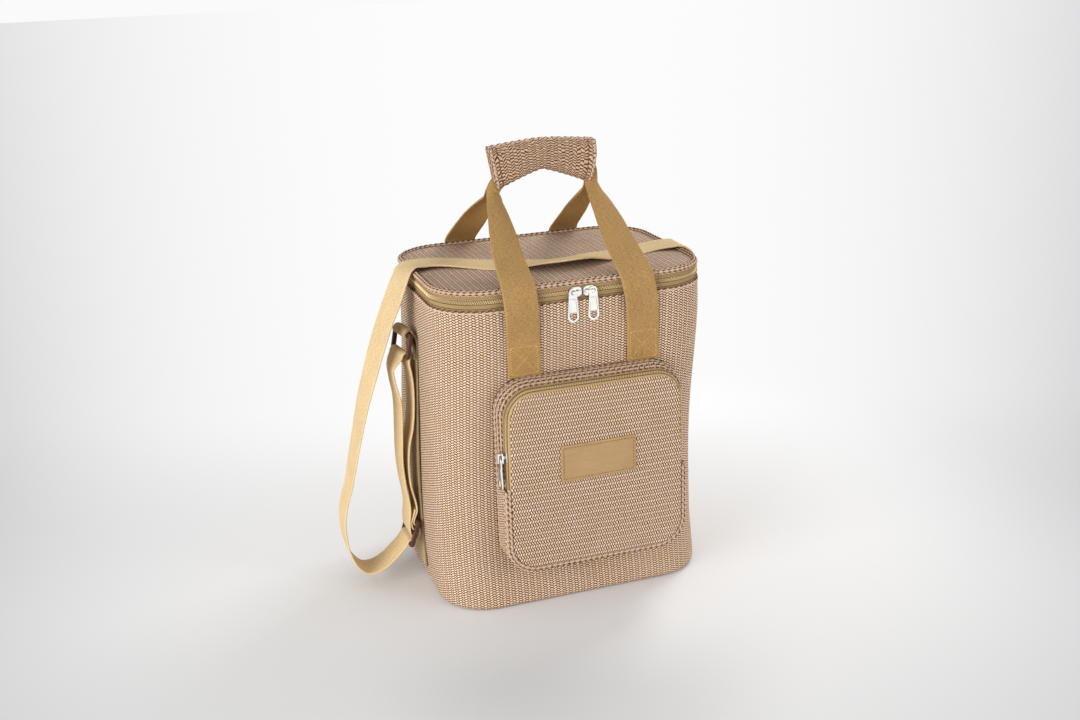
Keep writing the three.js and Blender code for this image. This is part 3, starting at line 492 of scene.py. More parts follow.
def feed(tree, slot, value):
    """Links a value to a node's input, or sets it there."""
    if isinstance(value, bpy.types.NodeSocket):
        tree.links.new(value, slot)
    elif value is not None:
        slot.default_value = value


def socket(tree, kind, **values):
    """A new node with its inputs fed by name, or by number as in i0."""
    node = tree.nodes.new(kind)
    for key, value in values.items():
        numbered = key[0] == "i" and key[1:].isdigit()
        feed(tree, node.inputs[int(key[1:]) if numbered else key], value)
    return node


def calc(tree, operation, first, second=None, third=None, clamp=False):
    """One Math node's result."""
    node = tree.nodes.new("ShaderNodeMath")
    node.operation = operation
    node.use_clamp = clamp
    for slot, value in zip(node.inputs, (first, second, third)):
        feed(tree, slot, value)
    return node.outputs[0]


def blend_colour(tree, share, first, second):
    """One Mix node's colour."""
    node = tree.nodes.new("ShaderNodeMix")
    node.data_type = "RGBA"
    for number, value in ((0, share), (6, first), (7, second)):
        feed(tree, node.inputs[number], value)
    return node.outputs[2]


def scaled(tree, colour, factor):
    """A colour made lighter or darker by a factor."""
    node = socket(tree, "ShaderNodeVectorMath", i0=colour)
    node.operation = "SCALE"
    feed(tree, node.inputs[3], factor)
    return node.outputs[0]


def ramp(tree, value, low, high, start=0.0, end=1.0):
    """A value taken smoothly from one range to another."""
    node = tree.nodes.new("ShaderNodeMapRange")
    node.interpolation_type = "SMOOTHSTEP"
    for slot, number in zip(node.inputs, (value, low, high, start, end)):
        feed(tree, slot, number)
    return node.outputs[0]


def noise(tree, place, scale, detail, stretch=None):
    """One Noise node's value; stretch scales the place first, so that the pattern lies one way."""
    if stretch:
        mapping = socket(tree, "ShaderNodeMapping", Vector=place, Scale=stretch)
        place = mapping.outputs[0]
    return socket(tree, "ShaderNodeTexNoise", Vector=place, Scale=scale, Detail=detail).outputs[0]


def weave_nodes(tree, given):
    """Ribs of stitches: u counts ribs and v counts stitches, shifted half a stitch in every other rib. A
    stitch is a dome over an oval that lies across its rib; pale and tan ribs take turns, and chance and slow
    patches vary them. Low on the domes the colour goes to the gap colour: painted shade deep between the
    stitches. A slow wander bends the rows a little."""
    do = partial(calc, tree)
    drift = do("SUBTRACT", noise(tree, given["Vector"], 120.0, 1.0), 0.5)
    place = socket(tree, "ShaderNodeSeparateXYZ", Vector=given["Vector"])
    u = do("MULTIPLY_ADD", drift, 0.35, do("DIVIDE", place.outputs[0], given["Column pitch"]))
    column = do("FLOOR", u)
    odd = do("FLOORED_MODULO", column, 2.0)
    across = do("SUBTRACT", do("SUBTRACT", u, column), 0.5)
    lean = do("MULTIPLY", across, do("MULTIPLY_ADD", odd, 0.7, -0.35))
    v = do("DIVIDE", place.outputs[1], given["Stitch pitch"])
    v = do("ADD", do("MULTIPLY_ADD", odd, 0.5, v), lean)
    v = do("MULTIPLY_ADD", drift, given["Wander"], v)
    row = do("FLOOR", v)
    along = do("SUBTRACT", do("SUBTRACT", v, row), 0.5)
    cell = socket(tree, "ShaderNodeCombineXYZ", i0=column, i1=row)
    chance = socket(tree, "ShaderNodeTexWhiteNoise", Vector=cell.outputs[0]).outputs[0]
    wide = do("MULTIPLY", do("MULTIPLY", across, across), given["Rib gap"])
    tall = do("MULTIPLY", do("MULTIPLY", along, along), do("MULTIPLY_ADD", chance, 2.6, 7.2))
    height = do("SQRT", do("SUBTRACT", 1.0, do("ADD", wide, tall), clamp=True))
    slow = ramp(tree, noise(tree, given["Vector"], 38.0, 2.0), 0.3, 0.7)
    hue = do("MULTIPLY_ADD", odd, given["Alternation"], do("MULTIPLY", slow, 0.26))
    hue = do("MULTIPLY_ADD", do("FRACT", do("MULTIPLY", chance, 7.3)), 0.2, hue, clamp=True)
    yarn = blend_colour(tree, hue, given["Pale yarn"], given["Tan yarn"])
    shaded = scaled(tree, yarn, do("MULTIPLY_ADD", chance, 0.22, 0.88))
    # painted shade: the gap colour deep between the stitches, where the domes fall low
    deep = blend_colour(tree, do("MULTIPLY_ADD", odd, -0.1, 0.12), given["Gap"], given["Tan yarn"])
    return {
        "Color": blend_colour(tree, ramp(tree, height, 0.08, 0.62), deep, shaded),
        "Height": do("MULTIPLY_ADD", noise(tree, given["Vector"], 2600.0, 2.0), 0.12, height),
        "Roughness": do("MULTIPLY_ADD", height, -0.12, 0.92),
    }


def twill_nodes(tree, given):
    """Woven tape: fine threads that cross, u along and v across, with short flecks, long streaks and slow
    patches. The raised threads get a little painted highlight, and the edges where the width folds round are
    painted paler (painted highlight) or darker (painted shade)."""
    do = partial(calc, tree)
    place = socket(tree, "ShaderNodeSeparateXYZ", Vector=given["Vector"])
    a, b = (do("DIVIDE", place.outputs[k], given["Thread pitch"]) for k in (0, 1))
    wave = do("SINE", do("MULTIPLY", do("ADD", a, do("PINGPONG", b, 4.0)), 3.1416))
    bars = do("SINE", do("MULTIPLY", b, 6.2832))
    height = do("MULTIPLY_ADD", do("MULTIPLY_ADD", wave, 0.8, bars), 0.25, 0.5)
    streak = noise(tree, given["Vector"], 1.0, 3.0, stretch=(40, 700, 1))
    fleck = noise(tree, given["Vector"], 1.0, 2.0, stretch=(1050, 330, 1))
    patch = noise(tree, given["Vector"], 45.0, 3.0)
    tone = do("MULTIPLY_ADD", streak, 0.26, do("MULTIPLY", patch, 0.24))
    tone = do("MULTIPLY_ADD", do("SUBTRACT", fleck, 0.5), given["Fleck"], tone)
    tone = do("ADD", do("MULTIPLY_ADD", height, 0.1, 0.705), tone)
    edge = do("DIVIDE", do("ABSOLUTE", place.outputs[1]), given["Half width"])
    # painted edge light and shade: paler edges are a painted highlight, darker ones painted shade
    tone = do("MULTIPLY_ADD", ramp(tree, edge, 0.86, 0.95), given["Edge"], tone)
    rough = do("MULTIPLY_ADD", patch, 0.2, 0.72)
    return {"Color": scaled(tree, given["Color"], tone), "Height": height, "Roughness": rough}


def yarn_nodes(tree, given):
    """One stitch of yarn: its tone picks between two colours, fibres twist over it, and painted shade
    darkens its low places.
    """
    wave = socket(tree, "ShaderNodeTexWave", Vector=given["Vector"], Scale=420.0, Distortion=3.0, Detail=2.0)
    fibre = wave.outputs[1]
    colour = blend_colour(tree, given["Tone"], given["First"], given["Second"])
    return {"Color": scaled(tree, colour, calc(tree, "MULTIPLY_ADD", fibre, 0.16, 0.88)), "Height": fibre}


def rubbed_nodes(tree, given):
    """Wear on a hard part: fine scratches and smudges over one colour, giving colour, roughness, height."""
    speck = noise(tree, given["Vector"], given["Scale"], 4.0)
    tone = calc(tree, "MULTIPLY_ADD", noise(tree, given["Vector"], 90.0, 2.0), 0.24, 0.88)
    rough = calc(tree, "MULTIPLY_ADD", speck, 0.2, given["Roughness"])
    return {"Color": scaled(tree, given["Color"], tone), "Height": speck, "Roughness": rough}


def crumple_nodes(tree, given):
    """Foil lining: soft creases from two layers of noise, with a painted highlight along their
    ridges.
    """
    values = {"Scale": 55.0, "Detail": 5.0, "Distortion": 1.4}
    crease = socket(tree, "ShaderNodeTexNoise", Vector=given["Vector"], **values)
    ridge = calc(tree, "ABSOLUTE", calc(tree, "SUBTRACT", crease.outputs[0], 0.5))
    colour = scaled(tree, given["Color"], ramp(tree, ridge, 0.0, 0.16, 1.08, 0.86))
    return {"Color": colour, "Height": ridge, "Roughness": ramp(tree, ridge, 0.0, 0.2, 0.24, 0.42)}


# Each effect's nodes and its inputs beside Vector, with their defaults; None stands for a colour
EFFECTS = {
    "ribbed weave": (
        weave_nodes,
        {"Column pitch": 0.00312, "Stitch pitch": 0.00246, "Wander": 0.5, "Rib gap": 3.3, "Alternation": 0.6}
        | {"Pale yarn": None, "Tan yarn": None, "Gap": None},
    ),
    "tape twill": (
        twill_nodes,
        {"Thread pitch": 0.0011, "Half width": 1.0, "Fleck": 1.0, "Edge": 0.0, "Color": None},
    ),
    "twisted yarn": (yarn_nodes, {"Tone": 0.5, "First": None, "Second": None}),
    "rubbed": (rubbed_nodes, {"Scale": 900.0, "Color": None, "Roughness": 0.3}),
    "crumpled foil": (crumple_nodes, {"Color": None}),
}


def effect_group(name):
    """An effect's shader node group with named inputs and outputs, built once."""
    if name in bpy.data.node_groups:
        return bpy.data.node_groups[name]
    tree = bpy.data.node_groups.new(name, "ShaderNodeTree")
    build, inputs = EFFECTS[name]
    tree.interface.new_socket("Vector", in_out="INPUT", socket_type="NodeSocketVector")
    for label, default in inputs.items():
        kind = "Color" if default is None else "Float"
        item = tree.interface.new_socket(label, in_out="INPUT", socket_type="NodeSocket" + kind)
        if default is not None:
            item.default_value = default
    enter = tree.nodes.new("NodeGroupInput")
    results = build(tree, {label: enter.outputs[label] for label in ("Vector", *inputs)})
    for label in results:
        kind = "Color" if label == "Color" else "Float"
        tree.interface.new_socket(label, in_out="OUTPUT", socket_type="NodeSocket" + kind)
    leave = tree.nodes.new("NodeGroupOutput")
    for label, result in results.items():
        tree.links.new(result, leave.inputs[label])
    return tree


def finish_material(name, effect, cloth, inputs, bump, distance, rough=None, metal=0.0, sheen=0.0):
    """A Principled material whose colour, roughness and bump come from one effect, on the piece's own UV map
    for cloth and on object coordinates for the rest."""
    if name in bpy.data.materials:
        return bpy.data.materials[name]
    material = bpy.data.materials.new(name)
    material.use_nodes = True
    tree = material.node_tree
    shader = tree.nodes["Principled BSDF"]
    node = tree.nodes.new("ShaderNodeGroup")
    node.node_tree = effect_group(effect)
    place = tree.nodes.new("ShaderNodeUVMap" if cloth else "ShaderNodeTexCoord")
    if cloth:
        place.uv_map = "cloth"
    tree.links.new(place.outputs["UV" if cloth else "Object"], node.inputs["Vector"])
    for label, value in inputs.items():
        feed(tree, node.inputs[label], value)
    if "Tone" in inputs:
        tone = tree.nodes.new("ShaderNodeAttribute")
        tone.attribute_name = "tone"
        tree.links.new(tone.outputs["Fac"], node.inputs["Tone"])
    tree.links.new(node.outputs["Color"], shader.inputs["Base Color"])
    feed(tree, shader.inputs["Roughness"], rough or node.outputs["Roughness"])
    relief = socket(tree, "ShaderNodeBump", Strength=bump, Distance=distance, Height=node.outputs["Height"])
    tree.links.new(relief.outputs[0], shader.inputs["Normal"])
    shader.inputs["Metallic"].default_value = metal
    shader.inputs["Sheen Weight"].default_value = sheen
    shader.inputs["Specular IOR Level"].default_value = 0.5 if metal else 0.12
    return material


def paint_dark_rim_reflection(material, rim):
    """Paints dark reflection on a polished material: its colour goes towards the rim colour where the face
    turns away from the eye.
    """
    tree = material.node_tree
    if "Layer Weight" in tree.nodes:
        return material
    turned = socket(tree, "ShaderNodeLayerWeight", Blend=0.5)
    base = tree.nodes["Principled BSDF"].inputs["Base Color"]
    face = base.links[0].from_socket
    share = ramp(tree, turned.outputs["Facing"], 0.35, 0.8)
    tree.links.new(blend_colour(tree, share, face, rim), base)
    return material


# Finishes of the ribbed weave: the material, three colours with their factors (pale yarn, tan yarn and gap,
# which is painted shade between stitches), bump, its distance, sheen, and factors on the two pitches
CLOTHS = {
    "weave": ("ribbed fabric", "pale_yarn", 1, "tan_yarn", 1, "gap", 1, 0.6, 0.0007, 0.04, 1, 1),
    # lid weave: a copy of the weave with its tan yarn a little darker, as painted shade
    "lid weave": ("lid fabric", "pale_yarn", 1, "tan_yarn", 0.96, "gap", 1, 0.75, 0.0007, 0.05, 1, 1),
    # pocket weave: a copy of the weave with both yarns a little darker, as painted shade
    "pocket weave": (
        "pocket fabric", "pale_yarn", 0.965, "tan_yarn", 0.965, "gap", 1, 0.6, 0.0007, 0.04, 1, 1
    ),
    "wrap": ("grip fabric", "tan_yarn", 0.93, "pale_yarn", 0.74, "gap", 2.0, 0.9, 0.0009, 0.05, 1.15, 0.9),
    # braid core: the yarns darkened as painted shade under the plait, with the slits' painted shade as its
    # gap
    "braid core": ("yarn core", "pale_yarn", 0.78, "tan_yarn", 0.78, "slit", 1.4, 0.5, 0.0005, 0.0, 1, 1),
}
# What else differs from the plain weave
WEAVE_CHANGES = {
    "lid weave": {"Alternation": 0.5},
    "wrap": {"Wander": 2.4, "Rib gap": 1.2, "Alternation": 0.25},
}
# Finishes of woven tape: thread pitch, fleck, edge (painted highlight above 0, painted shade below), half
# width, colour and its factor
TWILLS = {
    "webbing": (0.0011, 1.1, 0.12, WEB_WIDTH / 2, "webbing", 1),
    "strap": (0.001, 0.8, 0.08, WEB_WIDTH / 2, "strap", 1),
    # anchor: the strap's colour darkened as painted shade, with painted shade along both edges
    "anchor": (0.001, 0.8, -0.5, WEB_WIDTH / 2, "strap", 0.87),
    "tape": (0.0006, 0.5, 0.0, 1.0, "tape", 1),
    "binding": (0.0006, 0.5, 0.0, 1.0, "tape", 1.14),
    "label": (0.0005, 0.25, 0.0, 1.0, "label", 1),
}
# Finishes of single stitches: the material, two colours with their factors, bump, distance, roughness, sheen
YARNS = {
    "braid": ("plaited yarn", "pale_yarn", 0.84, "tan_yarn", 0.88, 0.35, 0.0003, 0.85, 0.05),
    "thread": ("sewing thread", "webbing", 1.28, "webbing", 1.16, 0.3, 0.0001, 0.7, 0.0),
    # the dark grains in the slits of seams and hems are painted shade
    "slit": ("shaded yarn", "slit", 1, "slit", 1.35, 0.3, 0.0002, 0.9, 0.0),
    # groove: dark lines of painted shade in the zip tapes' grooves and at an edge
    "groove": ("tape groove", "tape", 0.58, "tape", 0.66, 0.2, 0.0001, 0.9, 0.0),
    "label thread": ("label thread", "label", 0.74, "label", 0.84, 0.3, 0.0001, 0.8, 0.0),
}
# Finishes of hard parts: the material, its colour and factor, scratch scale, roughness, bump, distance, metal
HARD = {
    "coil": ("zip coil", "coil", 1, 700.0, 0.55, 0.1, 0.0001, 0.0),
    "nickel": ("polished nickel", "nickel", 1, 1500.0, 0.08, 0.06, 0.0001, 1.0),
    # engraving: nickel darkened as a painted shade line round the puller's recess
    "engraving": ("engraved line", "nickel", 0.8, 1500.0, 0.2, 0.06, 0.0001, 1.0),
    "buckle": ("moulded buckle", "buckle", 1, 1300.0, 0.3, 0.2, 0.0001, 0.0),
    "foam": ("closed-cell foam", "foam", 1, 1100.0, 0.75, 0.5, 0.0004, 0.0),
    "board": ("base board", "board", 1, 800.0, 0.6, 0.2, 0.0002, 0.0),
}


def finishes(name):
    """One of the bag's finishes by name, from the scene's sizes and colours."""
    sizes, colours = bpy.context.scene.bag_sizes, bpy.context.scene.bag_colours

    def shade(label, factor):
        """One of the scene's colours, made lighter or darker."""
        return linear([min(c * factor, 1) for c in getattr(colours, label)])

    if name in CLOTHS:
        title, *shades, bump, distance, sheen, columns, rows = CLOTHS[name]
        look = {"Column pitch": columns * sizes.column_pitch, "Stitch pitch": rows * sizes.stitch_pitch}
        for k, yarn in enumerate(("Pale yarn", "Tan yarn", "Gap")):
            look[yarn] = shade(*shades[2 * k : 2 * k + 2])
        look |= WEAVE_CHANGES.get(name, {})
        return finish_material(title, "ribbed weave", True, look, bump, distance, sheen=sheen)
    if name in TWILLS:
        pitch, fleck, edge, half, label, factor = TWILLS[name]
        look = {"Thread pitch": pitch, "Half width": half, "Fleck": fleck, "Edge": edge}
        look["Color"] = shade(label, factor)
        return finish_material(name + " twill", "tape twill", True, look, 0.3, 0.0002)
    if name in YARNS:
        title, first, its, second, others, bump, distance, rough, sheen = YARNS[name]
        look = {"Tone": 0, "First": shade(first, its), "Second": shade(second, others)}
        return finish_material(title, "twisted yarn", False, look, bump, distance, rough, sheen=sheen)
    if name in HARD:
        title, label, factor, scale, rough, bump, distance, metal = HARD[name]
        look = {"Scale": scale, "Color": shade(label, factor), "Roughness": rough}
        material = finish_material(title, "rubbed", False, look, bump, distance, metal=metal)
        # the nickel gets painted dark reflection at its rims
        return paint_dark_rim_reflection(material, shade("nickel", 0.72)) if name == "nickel" else material
    look = {"Color": shade("foil", 1)}
    return finish_material("foil lining", "crumpled foil", False, look, 0.6, 0.0012, metal=0.55)


def wear(piece, name):
    """Gives a piece one of the finishes."""
    piece.data.materials.clear()
    piece.data.materials.append(finishes(name))
    return piece


class COOLER_OT_camera(Operator):
    """Places the camera at the photograph's viewing angle"""

    bl_idname = "cooler.camera"
    bl_label = "Camera"
    bl_options = {"REGISTER", "UNDO"}

    def execute(self, context):
        """The camera looks at a point from a bearing and a height, then rolls about its own line of sight.
        Its lens is as many times its sensor as the focal length in pixels is of the picture's width."""
        target, distance = np.array([-0.00851, 0.0, 0.20934]), 1.26551
        bearing, height, roll = np.radians([-18.545, 18.495, -2.062])
        sensor, focal_pixels, picture_pixels = 36.0, 1272.23, 1080
        back = np.array([np.sin(bearing) * np.cos(height), -np.cos(bearing) * np.cos(height), np.sin(height)])
        right = np.array([np.cos(bearing), np.sin(bearing), 0.0])
        up = np.cross(back, right)
        turned_right = np.cos(roll) * right + np.sin(roll) * up
        turned_up = -np.sin(roll) * right + np.cos(roll) * up
        data = bpy.data.cameras.new("camera")
        data.sensor_width = sensor
        data.lens = sensor * focal_pixels / picture_pixels
        data.clip_start, data.clip_end = 0.05, 50
        camera = bpy.data.objects.new("camera", data)
        view = np.stack([turned_right, turned_up, back, target + distance * back], 1)
        camera.matrix_world = Matrix(np.vstack([view, [0, 0, 0, 1]]).tolist())
        context.scene.collection.objects.link(camera)
        context.scene.camera = camera
        return {"FINISHED"}


class COOLER_OT_body(Operator):
    """Lofts the woven outer shell and sews its top hem"""

    bl_idname = "cooler.body"
    bl_label = "Woven body"
    bl_options = {"REGISTER", "UNDO"}

    def execute(self, context):
        """The shell is the bag's outline carried up a profile: flat base, rounding, wall, top edge and the
        wall again inside, with the wall wandering a little by slow waves."""
        sizes = context.scene.bag_sizes
        turn = np.radians(np.linspace(0, 90, 7))
        rounding, thick = 0.006, 0.0022
        wall = np.linspace(0.010, BODY_TOP - 0.0012, 74)
        inside = wall[::-3]
        low, high = rounding * (1 - np.cos(turn)), BODY_TOP - 0.0002
        levels = np.concatenate([[0], low, wall, [high, high, BODY_TOP - 0.0012], inside, [rounding, thick]])
        insets = [[0.03], rounding * (1 - np.sin(turn)), 0 * wall, [0.0005, 0.0017, thick]]
        insets = np.concatenate([*insets, 0 * inside + thick, [0.0024, rounding]])
        points, outward = bag_rings(levels, insets)
        u = ring_lengths(bag_rings(0.15, 0)[0][0], sizes.column_pitch)
        z = levels[:, None]
        free = ease((z - 0.004) / 0.05) * ease((BODY_TOP - z) / 0.035)
        bulge = waves(u[None, :-1], z, 4) * (1 - 0.4 * np.cos(2 * np.pi * u[None, :-1] / u[-1]))
        points = points + (sizes.wall_slack * free * bulge)[..., None] * outward[None]
        v = lengths(np.stack([levels, insets], 1))[:, None]
        cloth = {"slot": "weave", "body": "bag"}
        surface("woven_shell", points, u, v, finish="weave", nodes=["outer_shell"], sharp=70, **cloth)

        pitch = 2 * sizes.column_pitch
        path, out = hem_line(BODY_TOP - 0.0018, 0.0002)
        path[:, 1] += 0.0009 * ease((0.068 - np.abs(path[:, 0])) / 0.006) * (path[:, 1] < 0)
        size, lift = (0.0056, 0.0030, 0.0017), unit(out + [0, 0, 0.5])
        stitches("top_hem", path, lift, pitch, size, 11, slant=0.1, finish="braid", **cloth)
        path, out = hem_line(BODY_TOP - 0.0002, 0.0004)
        size = (0.0042, 0.0018, 0.0014)
        stitches("top_hem_slits", path, out, pitch, size, 15, slant=0.2, shift=0.0, finish="slit", **cloth)
        return {"FINISHED"}


class COOLER_OT_lining(Operator):
    """Lines the bag and its lid with crumpled foil, and finishes the foam and the base board"""

    bl_idname = "cooler.lining"
    bl_label = "Lining and foam"
    bl_options = {"REGISTER", "UNDO"}

    def execute(self, context):
        """The lining is the outline carried down inside the foam, over the floor; its walls are creased by
        slow waves. The lid's lining is a shallow cushion between two outlines."""
        rising, falling = np.linspace(0.023, 0.2835, 40), np.linspace(0.282, 0.022, 50)
        edge = [0.2854, 0.2864, 0.29955, 0.2995, 0.2995, 0.29955, 0.286, 0.2849]
        levels = np.concatenate([[0.0133, 0.014, 0.018], rising, edge, falling, [0.016, 0.0133]])
        edge = [0.0097, 0.0038, 0.0038, 0.0036, 0.0044, 0.0046, 0.0046, 0.0105]
        insets = [[0.0182, 0.0131, 0.0112], 0 * rising + 0.0098, edge, 0 * falling + 0.0112, [0.0125, 0.0185]]
        insets = np.concatenate(insets)
        points, outward = bag_rings(levels, insets)
        u, z = closed_lengths(points[0]), levels[:, None]
        crease = waves(u[None, :-1] * 1.6, z * 1.6, 8, 8, 20, 70)
        crease = crease * ease((0.28 - z) / 0.03) * ease((z - 0.014) / 0.02)
        inner = (insets[:, None] > 0.0105) * 0.0007
        points = points - (inner * (1 + crease))[..., None] * outward[None]
        v = lengths(np.stack([levels, insets], 1))[:, None]
        foil = {"slot": "liner_foil", "sharp": 60, "finish": "foil"}
        surface("foil_lining", points, u, v, body="bag", nodes=["liner"], **foil)

        insets = np.array([0.0056, 0.0054, 0.0060, 0.009, 0.014, 0.022, 0.034, 0.048])
        high, low, uv_step = 0.3103, 0.3043, 0.004
        top, _ = bag_rings(np.full(len(insets), high), insets)
        top = np.concatenate([top[1:], drawn_in(top, np.linspace(0.85, 0.12, 8))])
        below = top.copy()
        share = np.linspace(0, 1, len(below))[:, None] ** 0.6
        x, y = below[..., 0] * 1.5, below[..., 1] * 1.5
        below[..., 2] = low + 0.0004 - 0.0016 * share + 0.0007 * waves(x, y, 3, 8, 25, 80)
        below[0, :, 2] = low + 0.0012
        top[0, :, 2] = high - 0.0008
        rows = np.concatenate([top[::-1], below])
        u, v = np.arange(rows.shape[1] + 1) * uv_step, np.arange(len(rows))[:, None] * uv_step
        pad = surface("lid_lining", rows, u, v, body="lid", nodes=["lid_liner", "lid_foam"], **foil)
        wear(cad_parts["foam_tub"], "foam")
        wear(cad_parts["base_board"], "board")
        return {"FINISHED"}


class COOLER_OT_lid(Operator):
    """Makes the ribbed lid panel, its plaited rim and the cloth hinge at the back"""

    bl_idname = "cooler.lid"
    bl_label = "Lid"
    bl_options = {"REGISTER", "UNDO"}

    def execute(self, context):
        """The panel is the outline drawn in towards its middle, crowned by a smooth hill, over a flat back.
        The rim is a cord with a plait of big stitches over it."""
        sizes = context.scene.bag_sizes
        insets = np.array([0.0049, 0.0052, 0.0062, 0.0085, 0.013, 0.019, 0.027, 0.037, 0.048])
        rings, _ = bag_rings(np.full(len(insets), LID_TOP), insets)
        top = np.concatenate([rings, drawn_in(rings, np.linspace(0.9, 0.06, 12))])
        x, y = top[..., 0], top[..., 1]
        hill = np.clip(1 - (x / 0.128) ** 2, 0, 1) * np.clip(1 - (y / 0.097) ** 2, 0, 1)
        swell = sizes.lid_crown * hill**0.6 + 0.0005 * waves(x * 1.3, y * 1.3, 21) * hill**0.4
        top[..., 2] = LID_TOP - 0.0004 + swell
        top[0, :, 2] = LID_TOP - 0.0014
        back = np.stack([top[0], top[0] * [0.98, 0.98, 1]])
        back[..., 2] = LID_TOP - 0.0021
        rows = np.concatenate([back[::-1], top])
        cloth = {"slot": "weave", "body": "lid"}
        look = {"finish": "lid weave", "nodes": ["lid_panel"], "sharp": 60}
        surface("lid_cloth", rows, *closed_uv(rows, 0, 1), **look, **cloth)

        line, out = hem_line(RIM_BOTTOM + 0.002, 0.0026)
        look = {"finish": "braid core", "nodes": ["lid_rim"]}
        tube("lid_rim_core", line, 0.0016, closed=True, **look, **cloth)
        pitch = sizes.hem_pitch * 0.93
        big, narrow, thin = (0.0060, 0.0026, 0.0020), (0.0062, 0.0018, 0.0014), (0.0060, 0.0019, 0.0014)
        slit, small = (0.0038, 0.0017, 0.0016), (0.0036, 0.0014, 0.0012)
        for name, level, inset, rise, size, seed, shift, finish in (
            ("lid_rim_top", 0.0036, 0.0032, 3.0, big, 12, 0.5, "braid"),
            ("lid_rim_middle", 0.0024, 0.0013, 0.9, big, 13, 0.0, "braid"),
            ("lid_rim_lower", 0.0007, 0.0011, 0.0, narrow, 14, 0.5, "braid"),
            ("lid_rim_inner", 0.0029, 0.0046, 4.0, thin, 16, 0.0, "braid"),
            ("lid_rim_slits_top", 0.0041, 0.0042, 3.0, slit, 17, 0.5, "slit"),
            ("lid_rim_slits_middle", 0.0034, 0.0020, 1.4, slit, 18, 0.0, "slit"),
            ("lid_rim_slits_lower", 0.0014, 0.0006, 0.4, small, 19, 0.5, "slit"),
        ):
            line, out = hem_line(RIM_BOTTOM + level, inset)
            look = {"slant": 0.12, "shift": shift, "finish": finish}
            stitches(name, line, unit(out + [0, 0, rise]), pitch, size, seed, **look, **cloth)

        y, z, half = HALF_DEPTH - TAPE_MIDDLE, np.linspace(0.286, 0.3104, 26), 0.0827
        grid_x, grid_z = np.meshgrid(np.linspace(-half, half, 60), z)
        bow = 0.0004 * np.exp(-(((grid_z - ZIP_LEVEL) / 0.003) ** 2))
        near, far = (np.stack([grid_x, y + side * 0.0004 - bow, grid_z], -1) for side in (-1, 1))
        rows = np.concatenate([near, far[:, ::-1]], 1)
        look = {"slot": "zip_tape", "finish": "tape", "nodes": ["hinge_strip", "lid_hinge_edge"], "sharp": 50}
        strip = surface("back_hinge_cloth", rows, *closed_uv(rows, 0, 2), **look)
        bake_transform(strip)
        return {"FINISHED"}


def wind_coils(coils, line_at, pitch, rise, reach):
    """Winds the coils of a zip, each round a dark core of painted shade inside the coil."""
    for name, *place, lift, phase, body, node in coils:
        line, out = line_at(*place)
        look = {"slot": "zip_coil", "body": body}
        wound = (pitch, rise, reach, 0.00036, phase)
        coil(name, line, unit(out + lift), *wound, finish="coil", nodes=[node], **look)
        tube(name + "_core", line, 0.00062, around=6, finish="slit", **look)


def lay_grooves(grooves, line_at):
    """Lays dark lines of painted shade along the tapes of a zip, in their grooves and along an edge."""
    for name, *place, body in grooves:
        tube(name, line_at(*place)[0], 0.00045, around=6, slot="zip_tape", body=body, finish="groove")


class COOLER_OT_main_zip(Operator):
    """Lays the main zip's tapes and winds its two coils"""

    bl_idname = "cooler.main_zip"
    bl_label = "Main zip"
    bl_options = {"REGISTER", "UNDO"}

    def execute(self, context):
        """Each tape is a thin section carried round the bag, with a soft ridge beside the coil; each coil is
        a wire wound round a line at the zip's level, the upper one half a turn on."""
        lower = [0.2862, 0.2925, 0.297, 0.2985, 0.300, 0.3009, 0.3012, 0.3018, 0.3023, 0.3025, 0.3027, 0.3046]
        upper = [0.3048, 0.3067, 0.3069, 0.3071, 0.3076, 0.3082, 0.3085, 0.3094, 0.3103]
        run = lengths(zip_path(0.0, 0.0)[0])[:, None]
        for name, levels, body in (("lower", lower, "bag"), ("upper", upper, "lid")):
            levels = np.array(levels)
            off = np.abs(levels - ZIP_LEVEL)
            bulge = 0.0003 * np.sin(np.pi * (levels - levels.min()) / np.ptp(levels))
            face = np.where(off < 0.0023, 0.0033, np.where(off < 0.0036, 0.0018, 0.0025)) - bulge
            behind = np.where(levels < 0.2998, 0.0033, 0.0039)
            around = np.concatenate([levels, levels[::-1]])
            insets = np.concatenate([face, behind[::-1]])
            points = np.stack([zip_path(level, inset)[0] for level, inset in zip(around, insets)], 1)
            look = {"slot": "zip_tape", "body": body, "finish": "tape", "nodes": [name + "_zip_tape"]}
            surface(name + "_tape", points, run, np.append(around, levels[0]), sharp=60, **look)
        coils = (
            ("lower_coil", ZIP_LEVEL - 0.00075, 0.0024, 0, 0.0, "bag", "lower_zip_coil"),
            ("upper_coil", ZIP_LEVEL + 0.00075, 0.0024, 0, 0.5, "lid", "upper_zip_coil"),
        )
        wind_coils(coils, zip_path, context.scene.bag_sizes.coil_pitch, 0.0007, 0.00085)
        grooves = (
            ("lower_tape_groove", ZIP_LEVEL - 0.0026, 0.0028, "bag"),
            ("lower_tape_edge", ZIP_LEVEL - 0.0062, 0.0025, "bag"),
            ("upper_tape_groove", ZIP_LEVEL + 0.0026, 0.0028, "lid"),
        )
        lay_grooves(grooves, zip_path)
        look = {"closed": False, "slot": "zip_tape", "finish": "thread", **THIN}
        for name, level, body in (("lower", ZIP_LEVEL - 0.0046, "bag"), ("upper", ZIP_LEVEL + 0.0042, "lid")):
            line, out = zip_path(level, 0.0022)
            size = (0.0016, 0.0004, 0.0004)
            stitches(name + "_tape_thread", line, out, 0.0021, size, 31, body=body, **look)
        return {"FINISHED"}


